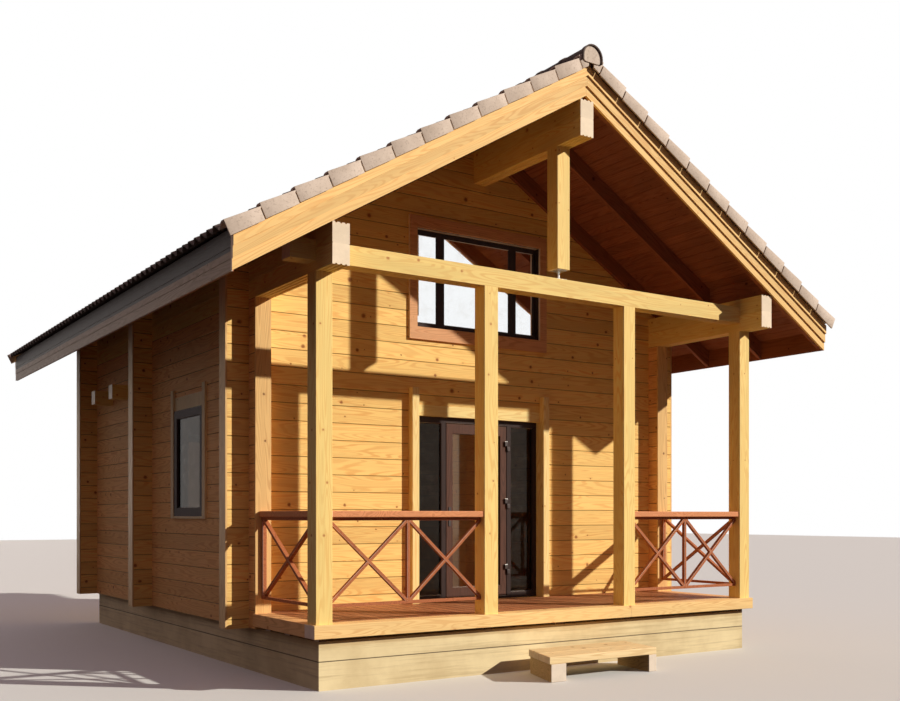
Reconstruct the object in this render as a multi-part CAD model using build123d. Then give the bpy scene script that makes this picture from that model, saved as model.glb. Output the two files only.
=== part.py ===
"""Timber house with a covered terrace, a tiled gable roof and a glazed entrance door.

Millimetres. X runs along the front to the right, Y into the house, Z up. The origin is on the
underside of the foundation, midway along the front wall's outer face.
"""

import math
import os

from build123d import *

# Timber and rows
ROW = 185.0
TIMBER = 170.0
GROOVE = 6.0
EDGE = 5.0
COMB_TEETH = 4
COMB_GROOVE = 22.0
COMB_FLANK = 4.0
COMB_DEPTH = 9.0
END_BOARD = 20.0

# Foundation
FOUNDATION_TOP = 445.0
FOUNDATION_WIDTH = 300.0
FOUNDATION_INSET = 60.0
FOUNDATION_FRONT = -1463.0

# Plan of the house
HALF_WIDTH = 2865.0
HOUSE_DEPTH = 5815.0
CROSS_WALL_Y = 3100.0
LONG_END = 250.0
SHORT_END = 170.0
WALL_ROWS = 18
EAVE_ROWS = 2

# Terrace
RIM_FRONT = -1552.0
RIM_OUTSIDE = 28.0
RIM_WIDTH = 200.0
RIM_TOP = 603.0
RIM_HEIGHT = 125.0
RIM_JOINT_X = 930.0
PACKER_LENGTH = 110.0
PACKER_INSET = 10.0
SIDE_PACKER_YS = (-400.0, -850.0)
DECK_THICKNESS = 28.0
DECK_BOARD = 140.0
DECK_GAP = 6.0
DECK_GAP_DEPTH = 12.0
DECK_JOIST_WIDTH = 60.0
DECK_JOIST_YS = (-1200.0, -800.0, -400.0, -60.0)
POST_FRONT = -1521.0
INNER_POST_X = 930.0

# Floors
FLOOR_TOP = 600.0
FLOOR_BOARDS = 28.0
FLOOR_JOIST_WIDTH = 60.0
FLOOR_JOIST_MARGIN = 295.0
FLOOR_JOISTS = 9
UPPER_JOIST_WIDTH = 170.0
UPPER_JOIST_YS = (4070.0, 4910.0)
UPPER_JOIST_ROWS = 14.5

# Doorway and its glazed unit
DOOR_OPENING_HALF = 970.0
DOOR_OPENING_TOP = 2830.0
JAMB_WIDTH = 90.0
JAMB_PROUD = 85.0
JAMB_RISE = 180.0
UNIT_TOP = 2710.0
UNIT_RECESS = 60.0
UNIT_DEPTH = 70.0
THRESHOLD = 32.0
DOOR_HEAD = 60.0
LEAF_HALF = 425.0
LEAF_GAP = 10.0
LEAF_RAIL = 110.0
LEAF_STILE = 85.0
LIGHT_STILE = 50.0
LIGHT_MULLION = 60.0
LIGHT_RAIL = 70.0
GLASS = 24.0
HINGE_PIN_RADIUS = 8.0
HINGE_PIN_INSET = 2.0
HINGE_PIN_PROUD = 13.0
HINGE_WING_NEAR = 3.0
HINGE_WING_FAR = 33.0
HINGE_WING = 8.0
HINGE_LENGTH = 110.0
HINGE_PLAY = 0.3
HINGE_HEIGHTS = (300.0, 1080.0, 1760.0)
HANDLE_HEIGHT = 970.0
HANDLE_REACH = 130.0
HANDLE_PLATE = (32.0, 8.0, 220.0)
HANDLE_NECK_RADIUS = 9.0
HANDLE_RISE = 40.0
HANDLE_GRIP_Y = (2.0, 18.0)
HANDLE_GRIP_HEIGHT = 20.0

# Windows
GABLE_SILL = 3700.0
GABLE_TOP = 4815.0
GABLE_HALF = 870.0
GABLE_CASING = 100.0
GABLE_CASING_PROUD = 30.0
GABLE_SILL_BOARD = 140.0
GABLE_HEAD_BOARD = 125.0
GABLE_STILE = 40.0
GABLE_RAIL = 60.0
GABLE_MULLION = 95.0
GABLE_SIDE_PANE = 270.0
WINDOW_SILL = 1550.0
WINDOW_HEAD = 2820.0
WINDOW_HEAD_BOARD = 160.0
WINDOW_SILL_TRIM = 26.0
WINDOW_JAMB_RISE = 90.0
WINDOW_JAMB_PROUD = 25.0
WINDOW_UNIT_PROUD = 15.0
WINDOW_WIDTH = 1138.0
SIDE_WINDOW_Y = 1753.0
BACK_WINDOW_X = 1450.0
SASH = 95.0

# Roof
PITCH = 30.8
ROOF_HALF = 3795.0
ROOF_FRONT = -1877.0
ROOF_BACK = 6633.0
RAFTER_DEPTH = 180.0
RAFTER_WIDTH = 50.0
ROOF_BOARD = 20.0
BATTEN_HEIGHT = 57.0
BATTEN_WIDTH = 50.0
BARGE_THICKNESS = 27.0
BARGE_DEPTH = 255.0
BARGE_LAP = 16.0
BARGE_LAP_RISES = (82.0, 169.0)
MITRE_GAP = 1.0
FASCIA = 25.0
FASCIA_DROP = 4.0
PORCH_RAFTER_Y = -912.0
INNER_RAFTERS = 5
BLOCKING = 45.0
PURLIN_FRONT = -1890.0
TILE_OVERHANG = 41.0
TILE_FIRST = -32.0
TILE_COURSES = 12
TILE_UPPER = 95.0
TILE_LOWER = 125.0
VERGE_STEP = 64.0
VERGE_FLANGE = 18.0
VERGE_HANG = 13.0
VERGE_TILT = 12.0
RIDGE_RADIUS = 130.0
RIDGE_SHELL = 17.0
RIDGE_DROP = 57.0
RIDGE_LEG = 60.0
RIDGE_SLOT = 33.0
RIDGE_OVERHANG = 26.0
RIDGE_CAP = 12.0
RIDGE_CAP_LEG = 56.0
RIDGE_CAP_CORNER = 40.0

# King post and its screw jack
KING_GAP = 107.0
JACK_PLATE = 120.0
JACK_PLATE_THICK = 8.0
JACK_ROD_RADIUS = 12.0

# Railings
HANDRAIL_TOP = 1630.0
HANDRAIL_HEIGHT = 60.0
HANDRAIL_WIDTH = 95.0
RAIL_BAR = 45.0
RAIL_BOTTOM = 748.0

# Entry step
STEP_LEFT = -770.0
STEP_RIGHT = 625.0
STEP_FRONT = -2242.0
STEP_DEPTH = 588.0
STEP_TOP = 243.0
STEP_LEFT_LEAN = 205.0
STEP_RIGHT_LEAN = 110.0
STEP_BOARD = 70.0
STEP_BOARD_GAP = 6.0
STEP_BEARER_LEFT = 185.0
STEP_BEARER_RIGHT = 105.0
STEP_LIP = 20.0

# Worked-out places
WALL_TOP = FOUNDATION_TOP + WALL_ROWS * ROW
EAVE_TOP = WALL_TOP + EAVE_ROWS * ROW
INNER_HALF = HALF_WIDTH - TIMBER
END_HALF = HALF_WIDTH + LONG_END
SLOPE = math.tan(math.radians(PITCH))
SINE = math.sin(math.radians(PITCH))
COSINE = math.cos(math.radians(PITCH))
RIDGE_UNDERSIDE = EAVE_TOP + SLOPE * HALF_WIDTH
RIM_HALF = HALF_WIDTH + RIM_OUTSIDE
FRONT_VERGE = ROOF_FRONT + BARGE_THICKNESS
BACK_VERGE = ROOF_BACK - BARGE_THICKNESS
BOARDS_UNDER = RAFTER_DEPTH
BOARDS_OVER = RAFTER_DEPTH + ROOF_BOARD
TILE_BASE = BOARDS_OVER + BATTEN_HEIGHT
TILE_END = (ROOF_HALF + TILE_OVERHANG - TILE_BASE * SINE) / COSINE
TILE_GAUGE = (TILE_END - TILE_FIRST) / TILE_COURSES
RIDGE_CENTRE = RIDGE_UNDERSIDE + (TILE_BASE + TILE_UPPER) / COSINE - RIDGE_DROP
POST_BACK = POST_FRONT + TIMBER
UNIT_FRONT = UNIT_RECESS
UNIT_BACK = UNIT_RECESS + UNIT_DEPTH
UNIT_HALF = DOOR_OPENING_HALF - JAMB_WIDTH
TIE_BOTTOM = FOUNDATION_TOP + (WALL_ROWS + 0.5) * ROW
DECK_HALF = RIM_HALF - RIM_WIDTH
GABLE_MULLION_X = GABLE_HALF - GABLE_STILE - GABLE_SIDE_PANE


def block(x_range, y_range, z_range):
    """A squared piece between two corners."""
    (x0, x1), (y0, y1), (z0, z1) = x_range, y_range, z_range
    centre = Pos((x0 + x1) / 2, (y0 + y1) / 2, (z0 + z1) / 2)
    return centre * Box(abs(x1 - x0), abs(y1 - y0), abs(z1 - z0))


def mirrored(shape):
    """The same piece on the other side of the house."""
    return mirror(shape, about=Plane.YZ)


def save(name, *pieces):
    """Writes one node's solids."""
    solids = [solid for piece in pieces for solid in piece.solids()]
    export_step(Compound(children=solids), os.path.join("parts", name + ".step"))


def roof_z(x, up=0.0):
    """Height of the plane that lies up above the rafters' underside, at x."""
    return RIDGE_UNDERSIDE - SLOPE * abs(x) + up / COSINE


def roof_point(along, up):
    """Point on the right slope, along it from the ridge and up square to it."""
    return along * COSINE + up * SINE, RIDGE_UNDERSIDE - along * SINE + up * COSINE


def outline_along_y(points, y0, y1):
    """A prism along Y of an outline drawn in X and Z."""
    plane = Plane(origin=(0, y0, 0), x_dir=(1, 0, 0), z_dir=(0, -1, 0))
    return extrude(plane * make_face(Polyline(*points, close=True)), amount=y0 - y1)


def outline_along_x(points, x0, x1):
    """A prism along X of an outline drawn in Y and Z."""
    plane = Plane(origin=(x0, 0, 0), x_dir=(0, 1, 0), z_dir=(1, 0, 0))
    return extrude(plane * make_face(Polyline(*points, close=True)), amount=x1 - x0)


def comb(start, end, z, rise):
    """Toothed edge of a timber's bed face, from start to end, its grooves rise deep."""
    turn = 1.0 if end > start else -1.0
    groove = turn * COMB_GROOVE
    flank = turn * COMB_FLANK
    tooth = (end - start - (COMB_TEETH - 1) * groove) / COMB_TEETH
    points = [(start, z)]
    for index in range(1, COMB_TEETH):
        u = start + index * tooth + (index - 1) * groove
        points += [(u, z), (u + flank, z + rise), (u + groove - flank, z + rise), (u + groove, z)]
    points.append((end, z))
    return points


def chamfered_post(x_range, y_range, z_range):
    """An upright timber with its four long edges taken off."""
    post = block(x_range, y_range, z_range)
    return chamfer(post.edges().filter_by(Axis.Z), EDGE)


def row_outline(outer, inner, z0, z1, first_joint, combed=False):
    """Section of stacked timbers, with a V at each joint on both faces."""
    turn = 1.0 if inner > outer else -1.0
    joints = []
    joint = first_joint
    while joint < z1 - 2 * GROOVE:
        if joint > z0 + 2 * GROOVE:
            joints.append(joint)
        joint += ROW
    points = []
    for z in joints:
        points += [(outer, z - GROOVE), (outer + turn * GROOVE, z), (outer, z + GROOVE)]
    points += comb(outer, inner, z1, -COMB_DEPTH) if combed else [(outer, z1), (inner, z1)]
    for z in reversed(joints):
        points += [(inner, z + GROOVE), (inner - turn * GROOVE, z), (inner, z - GROOVE)]
    points += comb(inner, outer, z0, COMB_DEPTH) if combed else [(inner, z0), (outer, z0)]
    return points


def cross_rows(x0, x1, y0, z0, z1):
    """Stacked timbers that run along X; their joints lie half a row off the side walls'."""
    first = FOUNDATION_TOP + ROW / 2
    return outline_along_x(row_outline(y0, y0 + TIMBER, z0, z1, first), x0, x1)


def side_rows(y0, y1, z0, z1):
    """Stacked timbers of the right side wall, which run along Y."""
    return outline_along_y(row_outline(HALF_WIDTH, INNER_HALF, z0, z1, FOUNDATION_TOP), y0, y1)


def gable_outline(z0):
    """Outline of a gable wall from z0 up to the underside of the roof boards."""
    half = END_HALF - END_BOARD
    top = roof_z(half, BOARDS_UNDER)
    return [(-half, z0), (half, z0), (half, top), (0, roof_z(0, BOARDS_UNDER)), (-half, top)]


def roof_layer(x0, x1, low, high, y0, y1):
    """A layer of the right slope with plumb ends, between two depths above the rafters."""
    points = [(x0, roof_z(x0, low)), (x1, roof_z(x1, low))]
    points += [(x1, roof_z(x1, high)), (x0, roof_z(x0, high))]
    return outline_along_y(points, y0, y1)


def ridge_purlin():
    """Two combed timbers under the ridge, which pass through both gables."""
    half = TIMBER / 2
    top = roof_z(half)
    low = top - EAVE_ROWS * ROW
    return outline_along_y(row_outline(-half, half, low, top, low, True), PURLIN_FRONT, BACK_VERGE)


def eave_beam():
    """Two combed timbers over the right side wall and its post, cut through for the tie beam."""
    outline = row_outline(HALF_WIDTH, INNER_HALF, WALL_TOP, EAVE_TOP, WALL_TOP, True)
    return outline_along_y(outline, FRONT_VERGE, BACK_VERGE) - tie_block()


def tie_block():
    """The space that the tie beam takes up, from end to end."""
    return block((-END_HALF, END_HALF), (POST_FRONT, POST_BACK), (TIE_BOTTOM, TIE_BOTTOM + ROW))


def tie_beam():
    """Combed timber on the inner posts, whose ends pass through the eave beams."""
    high = TIE_BOTTOM + ROW
    points = comb(POST_BACK, POST_FRONT, TIE_BOTTOM, COMB_DEPTH)
    points += comb(POST_FRONT, POST_BACK, high, -COMB_DEPTH)
    return outline_along_x(points, -END_HALF, END_HALF)


def foundation():
    """Concrete ring with cross strips under the front wall and the cross wall."""
    half = HALF_WIDTH - FOUNDATION_INSET
    back = HOUSE_DEPTH - FOUNDATION_INSET
    z_range = (0, FOUNDATION_TOP)
    inner = (-half + FOUNDATION_WIDTH, half - FOUNDATION_WIDTH)
    overlap = (FOUNDATION_WIDTH - TIMBER) / 2
    strips = [FOUNDATION_FRONT, -overlap, CROSS_WALL_Y - overlap, back - FOUNDATION_WIDTH]
    ring = block((-half, half), (FOUNDATION_FRONT, back), z_range)
    for near, far in zip(strips, strips[1:]):
        ring -= block(inner, (near + FOUNDATION_WIDTH, far), z_range)
    return ring


def terrace_base():
    """Rim timbers, packers, deck joists and the grooved deck."""
    z_range = (RIM_TOP - RIM_HEIGHT, RIM_TOP)
    front = (RIM_FRONT, RIM_FRONT + RIM_WIDTH)
    side = block((DECK_HALF, RIM_HALF), (front[1], -SHORT_END), z_range)
    packer_z = (FOUNDATION_TOP, z_range[0])
    packers = []
    outer_post = HALF_WIDTH - TIMBER / 2
    reach = HALF_WIDTH - FOUNDATION_INSET
    for x in (-outer_post, -INNER_POST_X, 0, INNER_POST_X, outer_post):
        left = max(x - PACKER_LENGTH / 2, -reach)
        right = min(x + PACKER_LENGTH / 2, reach)
        packers.append(block((left, right), (FOUNDATION_FRONT, front[1] - PACKER_INSET), packer_z))
    for y in SIDE_PACKER_YS:
        packer = block((DECK_HALF + PACKER_INSET, reach), (y, y + PACKER_LENGTH), packer_z)
        packers += [packer, mirrored(packer)]
    save("rim_front_long", block((-RIM_HALF, RIM_JOINT_X), front, z_range))
    save("rim_front_short", block((RIM_JOINT_X, RIM_HALF), front, z_range))
    save("rim_sides", side, mirrored(side))
    save("rim_packers", *packers)

    joist_z = (FOUNDATION_TOP, RIM_TOP - DECK_THICKNESS)
    joists = [
        block((-DECK_HALF, DECK_HALF), (y - DECK_JOIST_WIDTH / 2, y + DECK_JOIST_WIDTH / 2), joist_z)
        for y in DECK_JOIST_YS
    ]
    save("deck_joists", *joists)

    pitch = DECK_BOARD + DECK_GAP
    count = int(2 * DECK_HALF / pitch)
    first = -(count - 1) * pitch / 2
    groove = RIM_TOP - DECK_GAP_DEPTH
    points = [(-DECK_HALF, joist_z[1]), (-DECK_HALF, RIM_TOP)]
    for index in range(count):
        x = first + index * pitch
        points += [(x - DECK_GAP / 2, RIM_TOP), (x - DECK_GAP / 2, groove)]
        points += [(x + DECK_GAP / 2, groove), (x + DECK_GAP / 2, RIM_TOP)]
    points += [(DECK_HALF, RIM_TOP), (DECK_HALF, joist_z[1])]
    save("deck", outline_along_y(points, front[1], 0))


def floors():
    """Ground floor on its joists, and the upper floor over the back room."""
    joist_z = (FOUNDATION_TOP, FLOOR_TOP - FLOOR_BOARDS)
    back = HOUSE_DEPTH - TIMBER
    joists = []
    first = INNER_HALF - FLOOR_JOIST_MARGIN
    for index in range(FLOOR_JOISTS):
        x = first - 2 * first * index / (FLOOR_JOISTS - 1)
        across = (x - FLOOR_JOIST_WIDTH / 2, x + FLOOR_JOIST_WIDTH / 2)
        joists.append(block(across, (TIMBER, back), joist_z))
    save("ground_floor_joists", *joists)
    room = (-INNER_HALF, INNER_HALF)
    save("ground_floor", block(room, (TIMBER, back), (joist_z[1], FLOOR_TOP)))
    save("upper_joists", *upper_joists())
    top = upper_joist_z()[1]
    save("upper_floor", block(room, (CROSS_WALL_Y, back), (top, top + FLOOR_BOARDS)))


def upper_joist_z():
    low = FOUNDATION_TOP + UPPER_JOIST_ROWS * ROW
    return low, low + ROW


def upper_joists():
    """Two joists whose ends pass through the side walls, and the cross wall's own timber."""
    half = UPPER_JOIST_WIDTH / 2
    ends = (-END_HALF, END_HALF)
    pieces = [block(ends, (y - half, y + half), upper_joist_z()) for y in UPPER_JOIST_YS]
    beam = block((-HALF_WIDTH, HALF_WIDTH), (CROSS_WALL_Y, CROSS_WALL_Y + TIMBER), upper_joist_z())
    return pieces + [beam]


def through_timbers():
    """What the gables are notched for: purlin and eave beams, as plain blocks."""
    half = TIMBER / 2
    top = roof_z(half)
    along = (FRONT_VERGE, BACK_VERGE)
    purlin = block((-half, half), along, (top - EAVE_ROWS * ROW, top))
    eave = block((INNER_HALF, HALF_WIDTH), along, (WALL_TOP, EAVE_TOP))
    return [purlin, eave, mirrored(eave)]


def front_walls():
    """Front wall beside and over the doorway, with the gable window's opening."""
    left = cross_rows(-END_HALF + END_BOARD, -DOOR_OPENING_HALF, 0, FOUNDATION_TOP, DOOR_OPENING_TOP)
    sill = (FOUNDATION_TOP, RIM_TOP)
    save("front_wall_left", left)
    save("front_wall_right", mirrored(left))
    save("door_sill_timber", block((-DOOR_OPENING_HALF, DOOR_OPENING_HALF), (0, TIMBER), sill))

    rows = cross_rows(-END_HALF, END_HALF, 0, DOOR_OPENING_TOP, roof_z(0, BOARDS_UNDER))
    gable = rows & outline_along_y(gable_outline(DOOR_OPENING_TOP), 0, TIMBER)
    gable -= block((-GABLE_HALF, GABLE_HALF), (0, TIMBER), (GABLE_SILL, GABLE_TOP))
    for timber in through_timbers():
        gable -= timber
    save("front_gable", gable)


def back_wall():
    """Back wall up to the roof, with two windows below and the gable window above."""
    y0 = HOUSE_DEPTH - TIMBER
    rows = cross_rows(-END_HALF, END_HALF, y0, FOUNDATION_TOP, roof_z(0, BOARDS_UNDER))
    wall = rows & outline_along_y(gable_outline(FOUNDATION_TOP), y0, HOUSE_DEPTH)
    wall -= block((-GABLE_HALF, GABLE_HALF), (y0, HOUSE_DEPTH), (GABLE_SILL, GABLE_TOP))
    for x in (-BACK_WINDOW_X, BACK_WINDOW_X):
        across = (x - WINDOW_WIDTH / 2, x + WINDOW_WIDTH / 2)
        wall -= block(across, (y0, HOUSE_DEPTH), (WINDOW_SILL, WINDOW_HEAD + WINDOW_HEAD_BOARD))
    for timber in through_timbers():
        wall -= timber
    save("back_wall", wall)


def side_walls():
    """Side walls with one window each, notched for the joists that pass through."""
    wall = side_rows(TIMBER, HOUSE_DEPTH - TIMBER, FOUNDATION_TOP, WALL_TOP)
    along = (SIDE_WINDOW_Y - WINDOW_WIDTH / 2, SIDE_WINDOW_Y + WINDOW_WIDTH / 2)
    wall -= block((INNER_HALF, HALF_WIDTH), along, (WINDOW_SILL, WINDOW_HEAD + WINDOW_HEAD_BOARD))
    for joist in upper_joists():
        wall -= joist
    save("right_wall", wall)
    save("left_wall", mirrored(wall))


def wall_ends():
    """Timber ends that stand out past the corners, and the boards that close them."""
    front = side_rows(-SHORT_END + END_BOARD, 0, FOUNDATION_TOP, WALL_TOP)
    back = side_rows(HOUSE_DEPTH, HOUSE_DEPTH + SHORT_END - END_BOARD, FOUNDATION_TOP, WALL_TOP)
    save("side_wall_ends", front, mirrored(front), back, mirrored(back))

    length = END_HALF - END_BOARD
    rows = cross_rows(HALF_WIDTH, length, CROSS_WALL_Y, FOUNDATION_TOP, EAVE_TOP + ROW)
    top = [(HALF_WIDTH, FOUNDATION_TOP), (length, FOUNDATION_TOP)]
    top += [(length, roof_z(length)), (HALF_WIDTH, roof_z(HALF_WIDTH))]
    cross = rows & outline_along_y(top, CROSS_WALL_Y, CROSS_WALL_Y + TIMBER)
    save("cross_wall_ends", cross, mirrored(cross))

    boards = []
    for y, up in ((0, BOARDS_UNDER), (CROSS_WALL_Y, 0), (HOUSE_DEPTH - TIMBER, BOARDS_UNDER)):
        points = [(length, FOUNDATION_TOP), (END_HALF, FOUNDATION_TOP)]
        points += [(END_HALF, roof_z(END_HALF, up)), (length, roof_z(length, up))]
        board = outline_along_y(points, y, y + TIMBER)
        boards += [board, mirrored(board)]
    across = (INNER_HALF, HALF_WIDTH)
    for y in (-SHORT_END, HOUSE_DEPTH + SHORT_END - END_BOARD):
        board = block(across, (y, y + END_BOARD), (FOUNDATION_TOP, WALL_TOP))
        boards += [board, mirrored(board)]
    save("end_boards", *boards)


def porch_frame():
    """Posts, tie beam, eave beams, purlin and the king post on its screw jack."""
    save("ridge_purlin", ridge_purlin())
    save("eave_beams", eave_beam(), mirrored(eave_beam()))
    save("tie_beam", tie_beam())

    across = (POST_FRONT, POST_BACK)
    outer = chamfered_post((INNER_HALF, HALF_WIDTH), across, (RIM_TOP, WALL_TOP))
    inner_x = (INNER_POST_X - TIMBER / 2, INNER_POST_X + TIMBER / 2)
    inner = chamfered_post(inner_x, across, (RIM_TOP, TIE_BOTTOM))
    save("posts", outer, mirrored(outer), inner, mirrored(inner))

    bottom = TIE_BOTTOM + ROW + KING_GAP
    top = roof_z(TIMBER / 2) - EAVE_ROWS * ROW
    save("king_post", chamfered_post((-TIMBER / 2, TIMBER / 2), across, (bottom, top)))
    middle = (POST_FRONT + POST_BACK) / 2
    half = JACK_PLATE / 2
    plate_at = ((-half, half), (middle - half, middle + half))
    low = TIE_BOTTOM + ROW
    jack = block(*plate_at, (low, low + JACK_PLATE_THICK))
    jack += block(*plate_at, (bottom - JACK_PLATE_THICK, bottom))
    jack += Pos(0, middle, (low + bottom) / 2) * Cylinder(JACK_ROD_RADIUS, KING_GAP)
    save("king_post_jack", jack)


def braced_bay(u0, u1):
    """Outline faces of one X-braced bay between u0 and u1, in a plane of width and height."""
    z0 = RAIL_BOTTOM + RAIL_BAR
    z1 = HANDRAIL_TOP - HANDRAIL_HEIGHT - RAIL_BAR
    length = math.hypot(u1 - u0, z1 - z0)
    angle = math.degrees(math.atan2(z1 - z0, u1 - u0))
    middle = Pos((u0 + u1) / 2, (z0 + z1) / 2)
    bars = Rot(0, 0, angle) * Rectangle(length + 2 * RAIL_BAR, RAIL_BAR)
    bars += Rot(0, 0, -angle) * Rectangle(length + 2 * RAIL_BAR, RAIL_BAR)
    return middle * (bars & Rectangle(u1 - u0, z1 - z0))


def rail_frame(u0, u1, uprights):
    """Flat railing of braced bays between u0 and u1, drawn in width and height."""
    low = (RAIL_BOTTOM, RAIL_BOTTOM + RAIL_BAR)
    top = HANDRAIL_TOP - HANDRAIL_HEIGHT
    frame = Pos((u0 + u1) / 2, sum(low) / 2) * Rectangle(u1 - u0, RAIL_BAR)
    frame += Pos((u0 + u1) / 2, top - RAIL_BAR / 2) * Rectangle(u1 - u0, RAIL_BAR)
    edges = [u0]
    for u in uprights:
        frame += Pos(u, (low[0] + top) / 2) * Rectangle(RAIL_BAR, top - low[0])
        edges += [u - RAIL_BAR / 2, u + RAIL_BAR / 2]
    edges.append(u1)
    for near, far in zip(edges[::2], edges[1::2]):
        if far - near > RAIL_BAR:
            frame += braced_bay(near, far)
    return frame


def railings():
    """Railings between the outer and inner posts and along both sides of the terrace."""
    middle = (POST_FRONT + POST_BACK) / 2
    inner = INNER_POST_X + TIMBER / 2
    drawn = rail_frame(inner, INNER_HALF, [(inner + INNER_HALF) / 2])
    plane = Plane(origin=(0, middle + RAIL_BAR / 2, 0), x_dir=(1, 0, 0), z_dir=(0, -1, 0))
    front = extrude(plane * drawn, amount=RAIL_BAR)

    centre = HALF_WIDTH - TIMBER / 2
    drawn = rail_frame(POST_BACK, -SHORT_END, [-SHORT_END - RAIL_BAR / 2])
    plane = Plane(origin=(centre - RAIL_BAR / 2, 0, 0), x_dir=(0, 1, 0), z_dir=(1, 0, 0))
    side = extrude(plane * drawn, amount=RAIL_BAR)
    save("railings", front, mirrored(front), side, mirrored(side))

    z_range = (HANDRAIL_TOP - HANDRAIL_HEIGHT, HANDRAIL_TOP)
    half = HANDRAIL_WIDTH / 2
    front_hand = block((inner, INNER_HALF), (middle - half, middle + half), z_range)
    side_hand = block((centre - half, centre + half), (POST_BACK, -SHORT_END), z_range)
    save("handrails", front_hand, mirrored(front_hand), side_hand, mirrored(side_hand))


def rafter_spans():
    """Each rafter's near and far face along Y."""
    starts = [FRONT_VERGE, PORCH_RAFTER_Y - RAFTER_WIDTH / 2, -RAFTER_WIDTH]
    room = HOUSE_DEPTH - 2 * TIMBER
    for index in range(1, INNER_RAFTERS + 1):
        starts.append(TIMBER + room * index / (INNER_RAFTERS + 1) - RAFTER_WIDTH / 2)
    starts += [HOUSE_DEPTH, BACK_VERGE - RAFTER_WIDTH]
    return [(y, y + RAFTER_WIDTH) for y in starts]


def roof_frame():
    """Rafters, blocking over the eave beams, roof boards and tile battens."""
    end = ROOF_HALF - FASCIA
    rafters = [roof_layer(MITRE_GAP, end, 0, RAFTER_DEPTH, *span) for span in rafter_spans()]
    save("rafters", *rafters, *[mirrored(rafter) for rafter in rafters])

    solid_spans = sorted(rafter_spans() + [(0, TIMBER), (HOUSE_DEPTH - TIMBER, HOUSE_DEPTH)])
    near = HALF_WIDTH - BLOCKING
    points = [(near, EAVE_TOP), (HALF_WIDTH, EAVE_TOP)]
    points += [(HALF_WIDTH, roof_z(HALF_WIDTH, BOARDS_UNDER)), (near, roof_z(near, BOARDS_UNDER))]
    blocks = []
    for span, following in zip(solid_spans, solid_spans[1:]):
        if following[0] - span[1] > RAFTER_WIDTH:
            blocks.append(outline_along_y(points, span[1], following[0]))
    save("eave_blocking", *blocks, *[mirrored(piece) for piece in blocks])

    boards = roof_layer(MITRE_GAP, end, BOARDS_UNDER, BOARDS_OVER, FRONT_VERGE, BACK_VERGE)
    save("roof_boards", boards, mirrored(boards))

    battens = []
    verges = (FRONT_VERGE, BACK_VERGE)
    for index in range(TILE_COURSES + 1):
        x = end - BATTEN_WIDTH - index * TILE_GAUGE * COSINE
        if x > BATTEN_WIDTH:
            battens.append(roof_layer(x, x + BATTEN_WIDTH, BOARDS_OVER, TILE_BASE, *verges))
    save("tile_battens", *battens, *[mirrored(batten) for batten in battens])


def barge_boards():
    """A wide board on each verge and two narrower ones lapped over its upper part."""
    middle = Plane.XZ.offset(-(ROOF_FRONT + ROOF_BACK) / 2)
    faces = [ROOF_FRONT - index * BARGE_LAP for index in range(len(BARGE_LAP_RISES) + 1)]
    boards = [roof_layer(MITRE_GAP, ROOF_HALF, 0, BARGE_DEPTH, ROOF_FRONT, FRONT_VERGE)]
    for rise, near, far in zip(BARGE_LAP_RISES, faces[1:], faces):
        boards.append(roof_layer(MITRE_GAP, ROOF_HALF, rise, BARGE_DEPTH, near, far))
    boards += [mirror(board, about=middle) for board in boards]
    save("bargeboards", *boards, *[mirrored(board) for board in boards])


def fascias():
    """Grooved boards that close the rafters' ends at the eaves."""
    low = roof_z(ROOF_HALF)
    high = roof_z(ROOF_HALF, TILE_BASE) - FASCIA_DROP
    third = (high - low) / 3
    outer, inner = ROOF_HALF, ROOF_HALF - FASCIA
    points = [(outer, low)]
    for z in (low + third, low + 2 * third):
        points += [(outer, z - GROOVE), (outer - GROOVE, z), (outer, z + GROOVE)]
    points += [(outer, high), (inner, high), (inner, low)]
    fascia = outline_along_y(points, FRONT_VERGE, BACK_VERGE)
    save("fascias", fascia, mirrored(fascia))


def stepped(up, tilt, index):
    """One course's upper and lower corner, where the tile lies tilt higher at its lower edge."""
    lower = TILE_FIRST + index * TILE_GAUGE
    return roof_point(lower - TILE_GAUGE, up), roof_point(lower, up + tilt)


def tile_outline(base, base_tilt):
    """Outline of the courses, stepped square to the slope above, and below where they tilt."""
    (x0, z0), (x1, z1) = stepped(TILE_BASE + TILE_UPPER, TILE_LOWER - TILE_UPPER, 0)
    share = (RIDGE_SLOT - x0) / (x1 - x0)
    points = [(RIDGE_SLOT, z0 + share * (z1 - z0)), (x1, z1)]
    for index in range(1, TILE_COURSES + 1):
        points += stepped(TILE_BASE + TILE_UPPER, TILE_LOWER - TILE_UPPER, index)
    if base_tilt:
        for index in range(TILE_COURSES, 0, -1):
            points += reversed(stepped(base, base_tilt, index))
    else:
        points.append(roof_point(TILE_END, base))
    points.append((RIDGE_SLOT, roof_z(RIDGE_SLOT, base)))
    return points


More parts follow.
